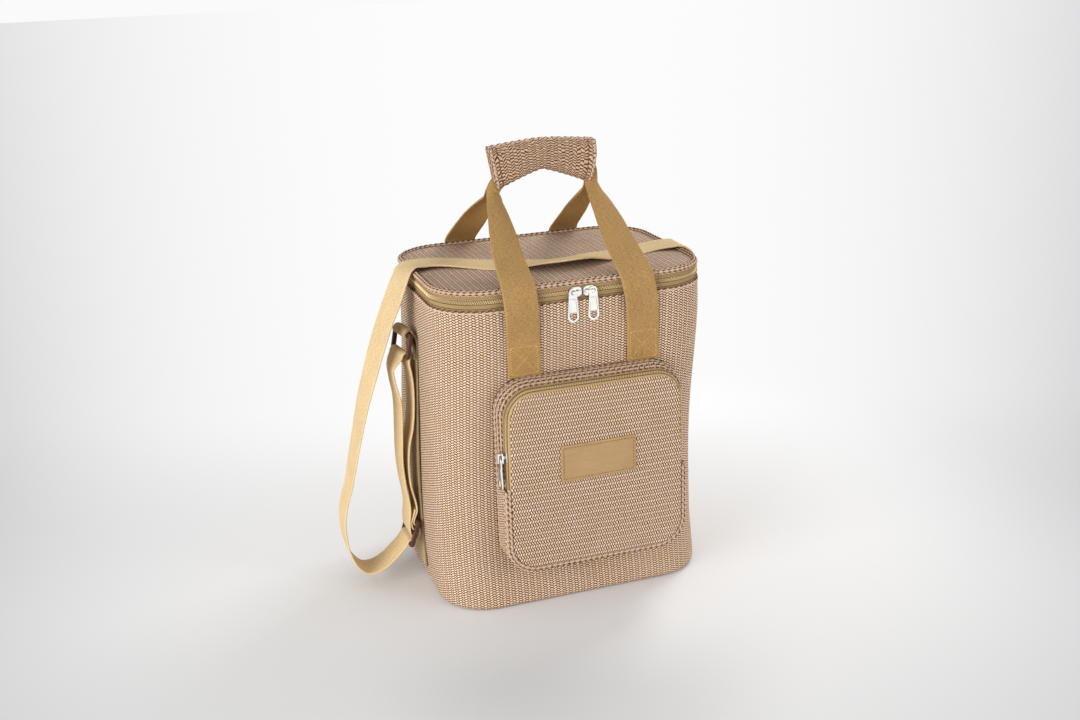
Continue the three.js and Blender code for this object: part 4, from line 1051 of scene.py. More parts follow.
def pocket_swell(x, z, rise):
    """How far the pocket's front stands out: a hill that falls to nothing at its edges, and waves."""
    upright = (z - POCKET_MIDDLE) / POCKET_RISE
    hill = np.clip(1 - (x / POCKET_HALF) ** 2, 0, 1) * np.clip(1 - upright**2, 0, 1)
    return rise * hill**0.55 + 0.0005 * waves(x * 1.4, z * 1.4, 22) * hill**0.4


def fold_with_flap(piece):
    """Bakes the piece's transform into its mesh; it does not bend the piece with the pocket's front, which
    folds over a short height where the flap begins.
    """
    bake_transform(piece)


class COOLER_OT_pocket(Operator):
    """Builds the front pocket: gusset, swelling front, zip and plaited seams"""

    bl_idname = "cooler.pocket"
    bl_label = "Front pocket"
    bl_options = {"REGISTER", "UNDO"}

    def execute(self, context):
        """The gusset follows the pocket's outline out from the wall. Its ribs run round the pocket. The front
        is the outline drawn in to its middle with a low swell, its ribs turned to run sideways."""
        sizes = context.scene.bag_sizes
        cloth = {"slot": "weave", "body": "bag"}
        look = {"finish": "pocket weave", "nodes": ["pocket_gusset"], "sharp": 60}
        puff = np.append(0.0006 * np.sin(np.pi * np.linspace(0, 1, 14)), [0, 0])
        for name, upper, reach in (("upper", True, 0.0199), ("lower", False, POCKET_DEPTH - 0.0030)):
            depths = np.concatenate([np.linspace(0.0004, reach, 14), [reach, 0.0004]])
            fall = 0.0017 * ease((depths - 0.012) / 0.009) if upper else 0 * depths
            insets = fall + np.append(np.zeros(14), [0.0014, 0.0016]) - puff
            points = np.stack([pocket_path(d, i, upper)[0] for d, i in zip(depths, insets)], 1)
            u, v = np.append(depths, depths[0]), lengths(points[:, 0])[:, None]
            surface("gusset_" + name, points, u, v, **look, **cloth)
        line, out = pocket_path(0.0258, 0.0018, False)
        tube("front_welt", line, 0.0029, around=12, finish="braid core", **cloth)
        pitch = sizes.hem_pitch * 0.9
        wall, wide, plump = (0.0054, 0.0024, 0.0013), (0.0056, 0.0030, 0.0015), (0.0058, 0.0032, 0.0022)
        narrow, slit, long = (0.0028, 0.0013), (0.0036, 0.0015, 0.0012), (0.0042, 0.0017, 0.0012)
        for name, depth, inset, upper, turn, size, seed, shift, finish in (
            ("wall_seam_upper", 0.0034, -0.0002, True, 0.0, wall, 41, 0.5, "braid"),
            ("wall_seam_lower", 0.0034, -0.0002, False, 0.0, wall, 42, 0.5, "braid"),
            ("gusset_row_1", 0.0078, -0.0008, True, 0.0, wide, 52, 0.0, "braid"),
            ("gusset_row_2", 0.0128, -0.0007, True, 0.0, wide, 53, 0.5, "braid"),
            ("tape_seam_upper", 0.0176, 0.0007, True, 0.4, (0.0056, 0.0028, 0.0015), 43, 0.0, "braid"),
            ("gusset_slits_1", 0.0056, -0.0008, True, 0.0, slit, 54, 0.0, "slit"),
            ("gusset_slits_2", 0.0103, -0.0010, True, 0.0, slit, 55, 0.5, "slit"),
            ("gusset_slits_3", 0.0152, -0.0002, True, 0.0, slit, 56, 0.0, "slit"),
            ("welt_side", 0.0236, -0.0008, False, 0.3, (0.0058, 0.0030, 0.0020), 44, 0.0, "braid"),
            ("welt_edge", 0.0266, -0.0004, False, 1.0, plump, 45, 0.5, "braid"),
            ("welt_front", 0.0286, 0.0020, False, 4.0, (0.0058, 0.0032, 0.0020), 46, 0.0, "braid"),
            ("wall_slits_upper", 0.0013, -0.0004, True, 0.0, long, 47, 0.0, "slit"),
            ("wall_slits_lower", 0.0013, -0.0004, False, 0.0, long, 48, 0.0, "slit"),
            ("tape_slits", 0.0198, 0.0013, True, 0.5, (0.0040, 0.0016, 0.0014), 49, 0.0, "slit"),
            ("welt_slits_side", 0.0251, -0.0014, False, 0.7, (*narrow, 0.0014), 38, 0.5, "slit"),
            ("welt_slits_front", 0.0290, 0.0004, False, 1.8, (*narrow, 0.0016), 39, 0.0, "slit"),
        ):
            line, out = pocket_path(depth, inset, upper)
            if name == "welt_side":
                clear = (line[:, 2] < FLAP_LEVEL - 0.0045) | (line[:, 0] > 0)
                line, out = line[clear], out[clear]
            look = {"slant": 0.25, "closed": False, "shift": shift, "finish": finish}
            stitches(name, line, unit(out + [0, -turn, 0]), pitch, size, seed, **look, **cloth)

        level = pocket_rings(POCKET_DEPTH, 0.0)[0][0, :, 2]
        insets = np.array([0.0040, 0.0043, 0.0054, 0.0080, 0.0122, 0.018, 0.026])[:, None]
        insets = insets + 0.0008 * ease((level - 0.148) / 0.024) + 0.0010 * ease((level - 0.180) / 0.040)
        rows, _ = pocket_rings(np.full(len(insets), POCKET_DEPTH), insets)
        rows = np.concatenate([rows, drawn_in(rows, np.linspace(0.9, 0.05, 12))])
        rows[..., 1] -= pocket_swell(rows[..., 0], rows[..., 2], sizes.pocket_crown)
        rows[0, :, 1] += 0.0012
        rows[1, :, 1] += 0.0003
        back = np.stack([rows[0], rows[0]])
        back[..., 1] = FRONT_WALL - POCKET_DEPTH + 0.0019
        back[0] = back[0].mean(0) + (back[0] - back[0].mean(0)) * 0.98
        rows = np.concatenate([back, rows])
        look = {"slot": "weave", "finish": "pocket weave", "nodes": ["pocket_front", "pocket_flap"]}
        fold_with_flap(surface("pocket_cloth", rows, *closed_uv(rows, 2, 0), sharp=60, **look))
        self.zip(sizes)
        return {"FINISHED"}

    def zip(self, sizes):
        """The pocket's zip: the outer tape on the gusset, two coils, and the inner tape folded onto the
        front. Each tape is a section of depths and insets, in tenths of a millimetre, carried along the
        outline."""
        outer = [(190, 16), (203, 18), (212, 20), (216, 25), (220, 23), (228, 26), (231, 32), (240, 50)]
        outer += [(235, 56), (215, 36), (190, 24)]
        inner = [(244, 52), (256, 53), (262, 46), (269, 48), (273, 50), (282, 52), (289, 56), (291, 62)]
        inner += [(288, 68), (280, 66), (262, 62), (244, 60)]
        for name, section, body, finish, nodes in (
            ("pocket_tape_outer", outer, "bag", "tape", ["pocket_outer_tape"]),
            ("pocket_tape_inner", inner, "flap", "binding", ["pocket_inner_tape", "pocket_flap_binding"]),
        ):
            section = np.array(section) / 10 * MM
            points = np.stack([pocket_path(d, i)[0] for d, i in section], 1)
            run, around = lengths(points[:, 0])[:, None], closed_lengths(section)
            look = {"slot": "zip_tape", "body": body, "finish": finish, "nodes": nodes, "sharp": 60}
            surface(name, points, run, around, **look)
        grooves = (
            ("pocket_tape_groove_outer", 0.0230, 0.0027, "bag"),
            ("pocket_tape_groove_inner", 0.0262, 0.0045, "flap"),
        )
        lay_grooves(grooves, pocket_path)
        lift = [0, -0.6, 0]
        coils = (
            ("pocket_coil_outer", 0.0240, 0.0037, lift, 0.0, "bag", "pocket_outer_coil"),
            ("pocket_coil_inner", 0.0252, 0.0044, lift, 0.5, "flap", "pocket_inner_coil"),
        )
        wind_coils(coils, pocket_path, sizes.coil_pitch, 0.0008, 0.0008)


class COOLER_OT_label(Operator):
    """Sews a plain label with a stitched border on the pocket"""

    bl_idname = "cooler.label"
    bl_label = "Label"
    bl_options = {"REGISTER", "UNDO"}

    def execute(self, context):
        """A soft rectangle that follows the pocket's swell, its rows drawn in by insets, then by shares, and
        each standing a little off the pocket, with a row of thread round it."""
        low, high = (np.array(corner)[[0, 2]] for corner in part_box("pocket_label"))
        half, centre = (high - low) / 2, (high + low) / 2
        wide, tall = np.linspace(-1, 1, 40), np.linspace(-1, 1, 20)
        x = np.concatenate([wide, 0 * tall + 1, -wide, 0 * tall - 1])
        z = np.concatenate([0 * wide + 1, -tall, 0 * wide - 1, tall])
        edge = np.stack([x, z], -1)

        def on_pocket(flat, stand):
            """Places on the pocket's front, standing off it."""
            swell = pocket_swell(flat[:, 0], flat[:, 1], context.scene.bag_sizes.pocket_crown)
            front = FRONT_WALL - POCKET_DEPTH - 0.0003 - swell
            return np.stack([flat[:, 0], front - stand, flat[:, 1]], -1)

        stands = [(0.0006, -0.0002), (0.0, 0.0003), (0.0004, 0.0008), (0.0015, 0.0009), (0.0026, 0.0006)]
        stands += [(0.0045, 0.0008), (0.009, 0.0009)]
        rows = [on_pocket(centre + edge * (half - inset), stand) for inset, stand in stands]
        last = edge * (half - 0.009)
        rows += [on_pocket(centre + last * share, 0.0009) for share in (0.8, 0.55, 0.3, 0.08)]
        rows = np.stack(rows)
        look = {"slot": "label_tape", "finish": "label", "nodes": ["pocket_label"], "sharp": 60}
        fold_with_flap(surface("label_cloth", rows, *closed_uv(rows, 0, 2), **look))
        line = on_pocket(centre + edge * (half - 0.0026), 0.0008)
        look = {"slot": "label_tape", "finish": "label thread", **THIN}
        size = (0.0022, 0.0009, 0.0006)
        fold_with_flap(stitches("label_stitches", line, [0, -1, 0], 0.0031, size, 51, **look))
        return {"FINISHED"}


def grip_line(x):
    """Height of the grip's middle line: a shallow arch."""
    return GRIP_TOP - 0.0105 * np.abs(2 * x / WRAP_LENGTH) ** 1.22


def wrap_height(x):
    """Height of the wrap, least at its middle."""
    return 0.029 + 0.013 * np.abs(2 * x / WRAP_LENGTH) ** 1.1


def handle_route(side, sway):
    """Stations of one handle from sewn end to sewn end: place, width and how far its edges curl back. Between
    foot and grip the legs close in by the square of their rise, and both sway to the left."""
    foot, in_grip, entry = HALF_DEPTH + 0.0012, 0.0024, WRAP_LENGTH / 2
    foot_level, pass_level = SEWN_TOP + 0.0003, 0.3165
    entry_level = grip_line(entry) - wrap_height(entry) / 2 - 0.002
    rise, reach = entry_level - foot_level, foot - in_grip
    # Share of the rise to the lid's rim or from it to the grip, share of the reach inwards, width, curl
    to_rim = [[0, 0, 1, 0], [0.099, 0, 1, 0], [0.4835, -0.025, 1, 0.3]]
    to_rim += [[0.791, -0.03, 1, 0.5], [1, 0.01, 1, 0.7]]
    to_grip = [[0.174, 0.16, 0.98, 1], [0.376, 0.36, 0.94, 1.8], [0.596, 0.56, 0.84, 3.4]]
    to_grip += [[0.798, 0.76, 0.66, 5], [0.936, 0.925, 0.48, 4.5]]
    rows = [[foot_level + (pass_level - foot_level) * up, *rest] for up, *rest in to_rim]
    rows += [[pass_level + (entry_level - pass_level) * up, *rest] for up, *rest in to_grip]
    half = []
    for level, inward, wide, curl in rows:
        up = (level - foot_level) / rise
        x = LEG_SPACING / 2 - (LEG_SPACING / 2 - entry) * up * up
        half.append([x, foot - reach * inward, level, WEB_WIDTH * wide, curl])
    gathered = 0.013
    inside = ((0, 0.0003, 0.0015, 1.5), (0, 0, 0.007, 1.5), (-0.001, 0, 0.014, 0), (-0.005, 0, 0.022, 0))
    for dx, dy, dz, curl in inside:
        half.append([entry + dx, in_grip + dy, entry_level + dz, gathered, curl])
    near = len(half)
    for x, wide in ((entry - 0.013, gathered), (entry * 0.46, 0.0156), (entry * 0.22, 0.0156)):
        half.append([x, in_grip, grip_line(x), wide, 0])
    half = np.array(half)
    mirrored = half * [-1, 1, 1, 1, 1]
    mirrored[near - 3 : near + 1, 0] += [0.003, 0.009, 0.013, 0.009]
    route = np.vstack([mirrored, [[0, in_grip, grip_line(0), 0.0182, 0]], half[::-1]])
    lag = np.clip(((route[:, 2] - foot_level) / rise - 0.06) / 0.94, 0, 1)
    places = np.stack([route[:, 0] - sway * np.sin(np.pi * lag) ** 2, side * route[:, 1], route[:, 2]], 1)
    return places, route[:, 3], route[:, 4] * MM


class COOLER_OT_handles(Operator):
    """Runs the two webbing handles from their sewn ends through the grip, and stitches the ends"""

    bl_idname = "cooler.handles"
    bl_label = "Handles"
    bl_options = {"REGISTER", "UNDO"}

    def execute(self, context):
        """Webbing along a smooth curve through the route's stations; its width follows the line's direction
        turned into the wall's plane, and its edges curl back where it gathers."""
        levels, steps = np.array([0.2323, 0.2330, 0.236, 0.243, 0.250, 0.256]), 7
        for name, side, sway in (("front", -1, 0.0045), ("back", 1, 0.0)):
            places, width, curl = handle_route(side, sway)
            depth = 0 * levels + side * (HALF_DEPTH + 0.0012)
            end = np.stack([0 * levels - LEG_SPACING / 2, depth, levels], 1)
            centre = curve_through(np.vstack([end, places, (end * [-1, 1, 1])[::-1]]), steps)
            width = shared(np.pad(width, len(levels), constant_values=WEB_WIDTH), steps)
            ahead = unit(np.gradient(centre, axis=0))
            across = unit(np.cross(ahead, [0, side, 0]))
            out = np.sign(np.cross(ahead, across)[:, 1] * side)
            cup = shared(np.pad(curl, len(levels)), steps) * np.where(out == 0, 1, out)
            look = {"slot": "webbing", "finish": "webbing"}
            look["nodes"] = [f"{name}_handle", f"sewn_end_{name}_left", f"sewn_end_{name}_right"]
            piece = f"{name}_handle_webbing"
            handle = webbing(piece, centre, across, width, HANDLE_THICKNESS, cup, **look)
            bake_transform(handle)
            for hand, turn in (("left", -1), ("right", 1)):
                self.sew(f"{name}_{hand}_stitches", side, turn * LEG_SPACING / 2)
        return {"FINISHED"}

    def sew(self, name, side, x):
        """A box of thread with a cross in it over a sewn end, half sunk in the webbing."""
        low, high, edge, pitch = 0.2348, 0.2604, 0.0128, 0.0028
        corners = np.array([(x - edge, 0, low), (x + edge, 0, low), (x + edge, 0, high), (x - edge, 0, high)])
        places, along = [], []
        for first, last in ((0, 1), (1, 2), (2, 3), (3, 0), (0, 2), (1, 3)):
            a, b = corners[[first, last]]
            count = int(np.linalg.norm(b - a) / pitch)
            places.append(a + (b - a) * ((np.arange(count) + 0.5) / count)[:, None])
            along.append(np.tile(b - a, (count, 1)))
        places = np.vstack(places) + [0, side * (HALF_DEPTH + 0.00205), 0]
        look = {"slot": "webbing", "body": "bag", "finish": "thread", **THIN}
        grains(name, places, np.vstack(along), [0, side, 0], (0.0029, 0.0012, 0.0006), 61, **look)


def on_wrap(x, high, lean, middle, y, h):
    """A place on the wrap: x along the grip, y deep and h up its section, which leans and, towards the right
    end, bows out most at its middle height."""
    end = WRAP_LENGTH / 2
    bow = 0.0036 * (1 - (h / high) ** 2) * (np.clip(x, 0, end) / end) ** 3
    return np.stack(np.broadcast_arrays(x + h * np.sin(lean) + bow, y, middle + h * np.cos(lean)), -1)


class COOLER_OT_grip(Operator):
    """Folds the woven wrap round both handles and stitches its hems"""

    bl_idname = "cooler.grip"
    bl_label = "Grip wrap"
    bl_options = {"REGISTER", "UNDO"}

    def execute(self, context):
        """The wrap's section is a tall rounded tube, cut by the plane between the handles; it is carried
        along the grip's arch, taller at both ends, and leans out there. Its ribs go round it."""
        end, inner, outer, thick = WRAP_LENGTH / 2, 0.0039, 0.0061, 0.0022
        shut = end - 0.015
        marks = [-shut - 0.001, -shut, shut, shut + 0.001]
        x = np.unique(np.concatenate([np.linspace(-end, end, 128), marks]))
        high = wrap_height(x) / 2 + 0.0004 * np.cos(np.pi * x / context.scene.bag_sizes.column_pitch)
        lean = np.where(x < 0, 0.18, 0.13) * x / end
        frame_at = [a[:, None] for a in (x, high, lean, grip_line(x))]

        def arch(sign, lip, open_below):
            """Depths and heights of one half's outer line: lip, round top edge, bulging face, round bottom
            edge, lip. Below, it has no lip where it stands open."""
            top, radius = high[:, None], 0.0055
            turn = np.radians(np.linspace(0, 90, 6))
            face = np.linspace(1, -1, 12)[1:-1]
            corner, straight = outer - radius, top - radius
            lips = np.where(open_below, sign * corner, -sign * lip)[:, None]
            parts = [
                (-sign * lip, top),
                (sign * (corner + radius * np.sin(turn)), straight + radius * np.cos(turn)),
                (sign * (outer + 0.0006 * (1 - face**2)), face * straight),
                (sign * (corner + radius * np.cos(turn)), -straight - radius * np.sin(turn)),
                (lips, -top),
            ]
            return np.concatenate([np.stack(np.broadcast_arrays(*part), -1) for part in parts], 1)

        for name, sign, lip in (("front", -1, 0.0036), ("back", 1, -0.0039)):
            outline = arch(sign, lip, (np.abs(x) > shut + 0.0005) & (sign < 0))
            if sign > 0:
                outline[:, [0, -1], 0] = 0.0040
                within = outline * [1, 0.94]
                within[..., 0] = inner
            else:
                within = outline.copy()
                within[:, 1:-1, 0] = np.clip(outline[:, 1:-1, 0] + thick, -inner - 0.0002, None)
                within[..., 1] *= ((high - thick) / high)[:, None]
            rows = [on_wrap(*frame_at, part[..., 0], part[..., 1]) for part in (outline, within[:, ::-1])]
            rows = np.concatenate(rows, 1)
            around = closed_lengths(rows[len(x) // 2])
            look = {"finish": "wrap", "nodes": [f"grip_wrap_{name}"], "slot": "weave", "sharp": 60}
            surface(f"wrap_{name}_cloth", rows, x[:, None], around, body=f"handle_{name}", **look)
        self.hems(x, high, lean)
        return {"FINISHED"}

    def hems(self, x, high, lean):
        """A row of stitches and a row of slits, dark grains of painted shade, down the face near both ends,
        the rolled ends of the cloth, and a row of stitches along the top edge."""
        end = WRAP_LENGTH / 2
        cloth = {"slot": "weave", "body": "handle_front"}

        def section(at, less=0.0):
            """What places the wrap's section there, made less high."""
            return at, np.interp(at, x, high) - less, np.interp(at, x, lean), np.interp(at, x, grip_line(x))

        h = np.linspace(-1, 1, 40)
        slit, big = ((0.0034, 0.0014, 0.0012), "slit"), ((0.0044, 0.0022, 0.0020), "braid")
        for k, (at, size, finish) in enumerate(
            ((0.0064 - end, *slit), (end - 0.0064, *slit), (0.0012 - end, *big), (end - 0.0012, *big))
        ):
            place = section(at, 0.0015)
            top = place[1]
            edge = np.clip((np.abs(h * top) - (top - 0.004)) / 0.004, 0, 1)
            line = on_wrap(*place, -0.0066 + 0.0030 * edge**2, h * top)
            lift = unit(np.stack([0 * h, 0 * h - 1, 0.8 * edge * np.sign(h)], 1))
            look = {"slant": 0.3, "closed": False, "finish": finish}
            stitches(f"wrap_end_hem_{k + 1}", line, lift, 0.0046, size, 71 + k, **look, **cloth)
        for hand, at, low in (("left", 0.0010 - end, 0.0085), ("right", end - 0.0010, 0.0245)):
            for part, y in (("front", -0.0034), ("back", 0.0012)):
                place = section(at)
                line = on_wrap(*place, y, np.linspace(low - place[1], place[1] - 0.0014, 30))
                tube(f"wrap_roll_{hand}_{part}", line, 0.0026, around=12, finish="wrap", **cloth)
        up = grip_line(x) + (high - 0.0003) * np.cos(lean)
        line = np.stack([x + high * np.sin(lean), 0 * x - 0.0021, up], 1)
        look = {"slant": 0.3, "closed": False, "finish": "braid"}
        stitches("wrap_top_hem", line, [0, -0.5, 1], 0.0047, (0.0044, 0.0024, 0.0018), 75, **look, **cloth)


def buckle_frame(side, reach, level, tilt, yaw):
    """A buckle's centre and its directions along the bars, down and out."""
    lean, turn = np.radians([tilt, yaw])
    along = np.array([side * np.sin(turn), np.cos(turn), 0])
    outward = np.array([side * np.cos(turn), -np.sin(turn), 0])
    up = np.array([0, 0, 1.0])
    down, out = outward * np.sin(lean) - up * np.cos(lean), outward * np.cos(lean) + up * np.sin(lean)
    return np.array([side * reach, 0, level]), along, down, out


# Where the solids hold the two rings and the adjuster
RING_LEVEL = 0.247
RING = {}
for wall in (-1, 1):
    RING[wall] = buckle_frame(wall, float(half_width(wall, RING_LEVEL)) + 0.0126, RING_LEVEL, 11.5, 8.5)
ADJUSTER = buckle_frame(-1, 0.151, 0.054, 18.5, 0)


def threaded(buckle, places):
    """Stations round a buckle's bars, from places down and out of its centre, in millimetres."""
    centre, along, down, out = buckle
    return [(*(centre / MM + d * down + o * out), *along) for d, o in places]


def free(places):
    """Stations of a free stretch, in millimetres; a place may add a twist and a roll of the width."""
    rows = [(*place, 0, 0)[:5] for place in places]
    return [(x, y, z, twist, 1, roll) for x, y, z, twist, roll in rows]


class COOLER_OT_strap(Operator):
    """Threads the shoulder strap and sews its anchors to the side walls"""

    bl_idname = "cooler.strap"
    bl_label = "Shoulder strap"
    bl_options = {"REGISTER", "UNDO"}

    def execute(self, context):
        """Webbing along one smooth curve through the route's stations, cut into the part that shortens as the
        adjuster slides, the slack loop, and the run over the lid."""
        for side, name in ((-1, "left"), (1, "right")):
            self.anchor(side, f"anchor_{name}", f"side_anchor_{name}")
        self.strap()
        return {"FINISHED"}

    def anchor(self, side, name, node):
        """Webbing up the middle of the wall, over the ring's upper bar and back down to the wall."""

        def face(level, gap=0.00135):
            """How far out the webbing lies on the wall."""
            return side * (half_width(side, level) + gap)

        upright, steps, bend, top = (0, 1, 0), 6, 0.0039, -0.0105
        walls = (0.015, 0.027, 0.045, 0.07, 0.095, 0.12, 0.145, 0.17, 0.195, 0.22, 0.239, 0.250)
        stations = [(face(level), 0, level) for level in walls]
        stations.append((face(walls[-1]) + side * 0.0025, 0, 0.257))
        centre, along, down, out = RING[side]
        over = [(0, -bend * 0.8), (0, bend * 0.35), (bend, bend), (bend * 1.75, bend * 0.6)]
        over.append((bend * 1.95, -bend * 0.5))
        stations += [tuple(centre + (top - bend + d) * down + o * out) for d, o in over]
        tail = face(0.235) + side * 0.0024
        stations += [(tail + side * 0.0012, 0, 0.248), (tail, 0, 0.242), (tail, 0, 0.233)]
        width = [upright] * (len(walls) + 1) + [tuple(along)] * len(over) + [upright] * 3
        look = {"slot": "strap_webbing", "body": "bag"}
        line, across = curve_through(np.array(stations), steps), shared(width, steps)
        kind = {"finish": "anchor", "nodes": [node]}
        webbing(name + "_webbing", line, across, WEB_WIDTH, HANDLE_THICKNESS, **kind, **look)
        level = np.repeat([0.0185, 0.2365], 9)
        x = face(level, 0.0022)
        x[9:] = tail + side * 0.0009
        places = np.stack([x, np.tile(np.linspace(-0.0125, 0.0125, 9), 2), level], 1)
        look |= {"finish": "thread", **THIN}
        grains(name + "_stitches", places, upright, [side, 0, 0], (0.0022, 0.0006, 0.0006), 81, **look)

    def strap(self):
        """The route repeats the solid's stations, in millimetres."""
        on_lid, over_rim, edge = 314.0, 315.8, 133.0
        low, bar, wrap, on_bar, layer = 10.5, 12.3, 3.5, 3.2, 1.9
        part, most = wrap * 0.7, wrap * 0.8
        sewn = threaded(ADJUSTER, [
            (-bar - 12, on_bar + 1.1 * layer), (-bar - 5, on_bar + 1.05 * layer),
            (-bar, on_bar + layer + 0.2), (-9.2, 5.1), (-6.2, 3.7), (-3.8, 1.9), (-wrap, 0), (-part, -part),
            (0, -wrap), (part, -part), (wrap, 0), (part, part), (0, wrap + 0.4),
        ])
        rising = [(-6, 5.9), (-bar, on_bar + 2.3 * layer), (-bar - 12, on_bar + 2.4 * layer + 2.6)]
        outer = threaded(ADJUSTER, rising)
        outer += free([
            (-156.2, 0, 108), (-157.4, 0, 130), (-156.2, 0, 158, -0.02), (-155.2, 0, 190, -0.04),
            (-158.6, 0, 211, 0.01), (-159.4, 0, 225, 0.04),
        ])
        over = threaded(RING[-1], [
            (low + 2.5, wrap + 1.4), (low - wrap * 0.3, wrap + 0.2), (low - most, part),
            (low - wrap - 0.1, 0), (low - most, -part), (low - wrap * 0.1, -wrap - 0.1),
        ])
        inner = threaded(RING[-1], [(low + 6, -wrap - 0.4)])
        inner += free([
            (-142.6, 0, 218), (-142.2, 0, 190), (-145.0, 0, 164), (-149.4, 0, 146), (-151.4, 0, 126),
            (-151.0, 0, 106),
        ])
        inner += threaded(ADJUSTER, [
            (-bar - 12, on_bar + 0.2), (-bar - 3, on_bar + 0.3), (-bar, on_bar + 0.2), (-9.9, 2.9),
            (-7.4, 0), (-4.7, -3.8), (-1.5, -5.5), (2.2, -5.4), (5.6, -2.9), (7.9, 0.5), (9.7, 2.9),
            (bar, on_bar + 0.3),
        ])
        slack = free([
            (-162.5, 0, 38), (-170, 0, 31), (-179, 0, 23.5), (-190, 0, 18.5), (-200.5, 0, 19),
            (-208, 0, 26), (-213, 0, 36), (-217, 0, 53), (-218, 0, 75), (-215, 0, 92),
        ])
        upward = free([
            (-209.7, 0, 108), (-203.5, 0, 134, -0.04), (-196.3, 0, 163, -0.08), (-189, 0, 191, -0.14),
            (-181, 0, 216, -0.2), (-172.5, 0, 241, -0.24), (-161, 0, 271, -0.26), (-152, 1, 290, -0.3),
            (-145, 4, 304.5, -0.25),
        ])
        lid = free([
            (-edge - 5.5, 8, over_rim - 1.6, -0.15), (-edge + 1, 12, over_rim + 1.4),
            (-edge + 16, 18, over_rim + 1.4), (-edge + 37, 16, on_lid + 2), (-edge + 62, 0, on_lid + 1),
            (-47, -21, on_lid + 2), (-12, -42, on_lid + 6, 0, -0.18), (22, -41, on_lid + 6, 0, -0.18),
            (50, -30, on_lid + 2), (edge - 53, -20, on_lid + 0.6), (edge - 28, -12, on_lid + 1),
            (edge - 11, -14, over_rim + 0.8), (edge + 1, -17, over_rim + 0.3),
            (edge + 10.5, -17, over_rim - 8), (edge + 15, -14, over_rim - 24),
        ])
        end = threaded(RING[1], [
            (-low - 16, 8.6), (-low - 6, 7.4), (-low + 4, 6.9), (1, 6.1), (low - 4.5, 4.6),
            (low, wrap + 0.1), (low + part, part), (low + wrap, 0), (low + part, -part), (low, -wrap),
            (low - 3.4, -2.2), (low - 6, 0.4), (low - 9, 2.6), (low - 13, 3.9),
        ])
        steps = 7
        stations = np.array(sewn + outer + over + inner + slack + upward + lid + end)
        line, across = curve_through(stations[:, :3] * MM, steps), shared(stations[:, 3:], steps)
        run = lengths(line)
        to_slack = len(sewn + outer + over + inner)
        first, second = (to_slack - 10) * steps, (to_slack + len(slack) - 1) * steps
        look = {"slot": "strap_webbing", "finish": "strap", "nodes": ["shoulder_strap"]}
        pieces = []
        for name, a, b in (("tail", 0, first), ("slack", first, second), ("run", second, len(line) - 1)):
            cut = slice(a, b + 1)
            sizes = {"width": WEB_WIDTH, "thickness": STRAP_THICKNESS, "start": run[a]}
            pieces.append(webbing("strap_" + name, line[cut], across[cut], **sizes, **look))
        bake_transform(pieces[0])
        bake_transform(pieces[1])
        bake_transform(pieces[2])
        centre, along, down, out = ADJUSTER
        places = centre + np.linspace(-0.013, 0.013, 10)[:, None] * along - 0.0215 * down + 0.0089 * out
        look = {"slot": "strap_webbing", "body": "adjuster", "finish": "thread", **THIN}
        grains("strap_end_stitches", places, along, out, (0.0022, 0.0006, 0.0006), 83, **look)


class COOLER_OT_hardware(Operator):
    """Finishes the metal sliders and pullers and the plastic rings, with rounded edges"""

    bl_idname = "cooler.hardware"
    bl_label = "Hardware"
    bl_options = {"REGISTER", "UNDO"}

    def execute(self, context):
        """Live modifiers weld each solid's loose triangles and round its edges."""
        for names, width, finish in (
            (("main_slider_left", "main_slider_right", "pocket_slider"), 0.0003, "nickel"),
            (("main_puller_left", "main_puller_right", "pocket_puller"), 0.00028, "nickel"),
            (("ring_left", "ring_right", "strap_adjuster"), 0.0004, "buckle"),
        ):
            for name in names:
                self.soften(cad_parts[name], width)
                wear(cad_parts[name], finish)
        level = 0.3047
        for hand, turn in (("left", -1), ("right", 1)):
            eye = (turn * 0.00986, -0.1035, level)
            self.tab(f"main_puller_{hand}", f"puller_{hand}", eye, (1, 0, 0), (0, -1, 0))
        self.tab("pocket_puller", "puller_pocket", (-0.09247, -0.1247, 0.16234), (0, 1, 0), (-1, 0, 0))
        return {"FINISHED"}

    def soften(self, node, width):
        """Welds and bevels a solid's edges."""
        weld = node.modifiers.new("weld", "WELD")
        weld.merge_threshold = 0.00001
        bevel = node.modifiers.new("edges", "BEVEL")
        bevel.width = width
        bevel.segments = 2
        bevel.limit_method = "ANGLE"
        bevel.angle_limit = np.radians(34)
        bevel.use_clamp_overlap = True
        node.data.polygons.foreach_set("use_smooth", np.full(len(node.data.polygons), True))
        node.modifiers.new("faces", "WEIGHTED_NORMAL").keep_sharp = True

    def tab(self, node, body, eye, across, out):
        """A thin raised border round the puller's recess: a round bead along a tapering outline, in darker
        nickel as a painted shade line.
        """
        top, low, narrow, broad = -0.0062, -0.0188, 0.0026, 0.0038
        corners = np.array([(-narrow, top), (narrow, top), (broad, low), (-broad, low)])
        share = np.linspace(0.08, 0.92, 8)[:, None]
        flat = np.vstack([a + (b - a) * share for a, b in zip(corners, np.roll(corners, -1, 0))])
        path = np.array(eye) + flat[:, :1] * across + flat[:, 1:] * [0, 0, 1] + 0.00005 * np.array(out)
        look = {"slot": "nickel", "body": body, "finish": "engraving"}
        tube(node + "_bead", path, 0.00032, around=6, closed=True, **look)


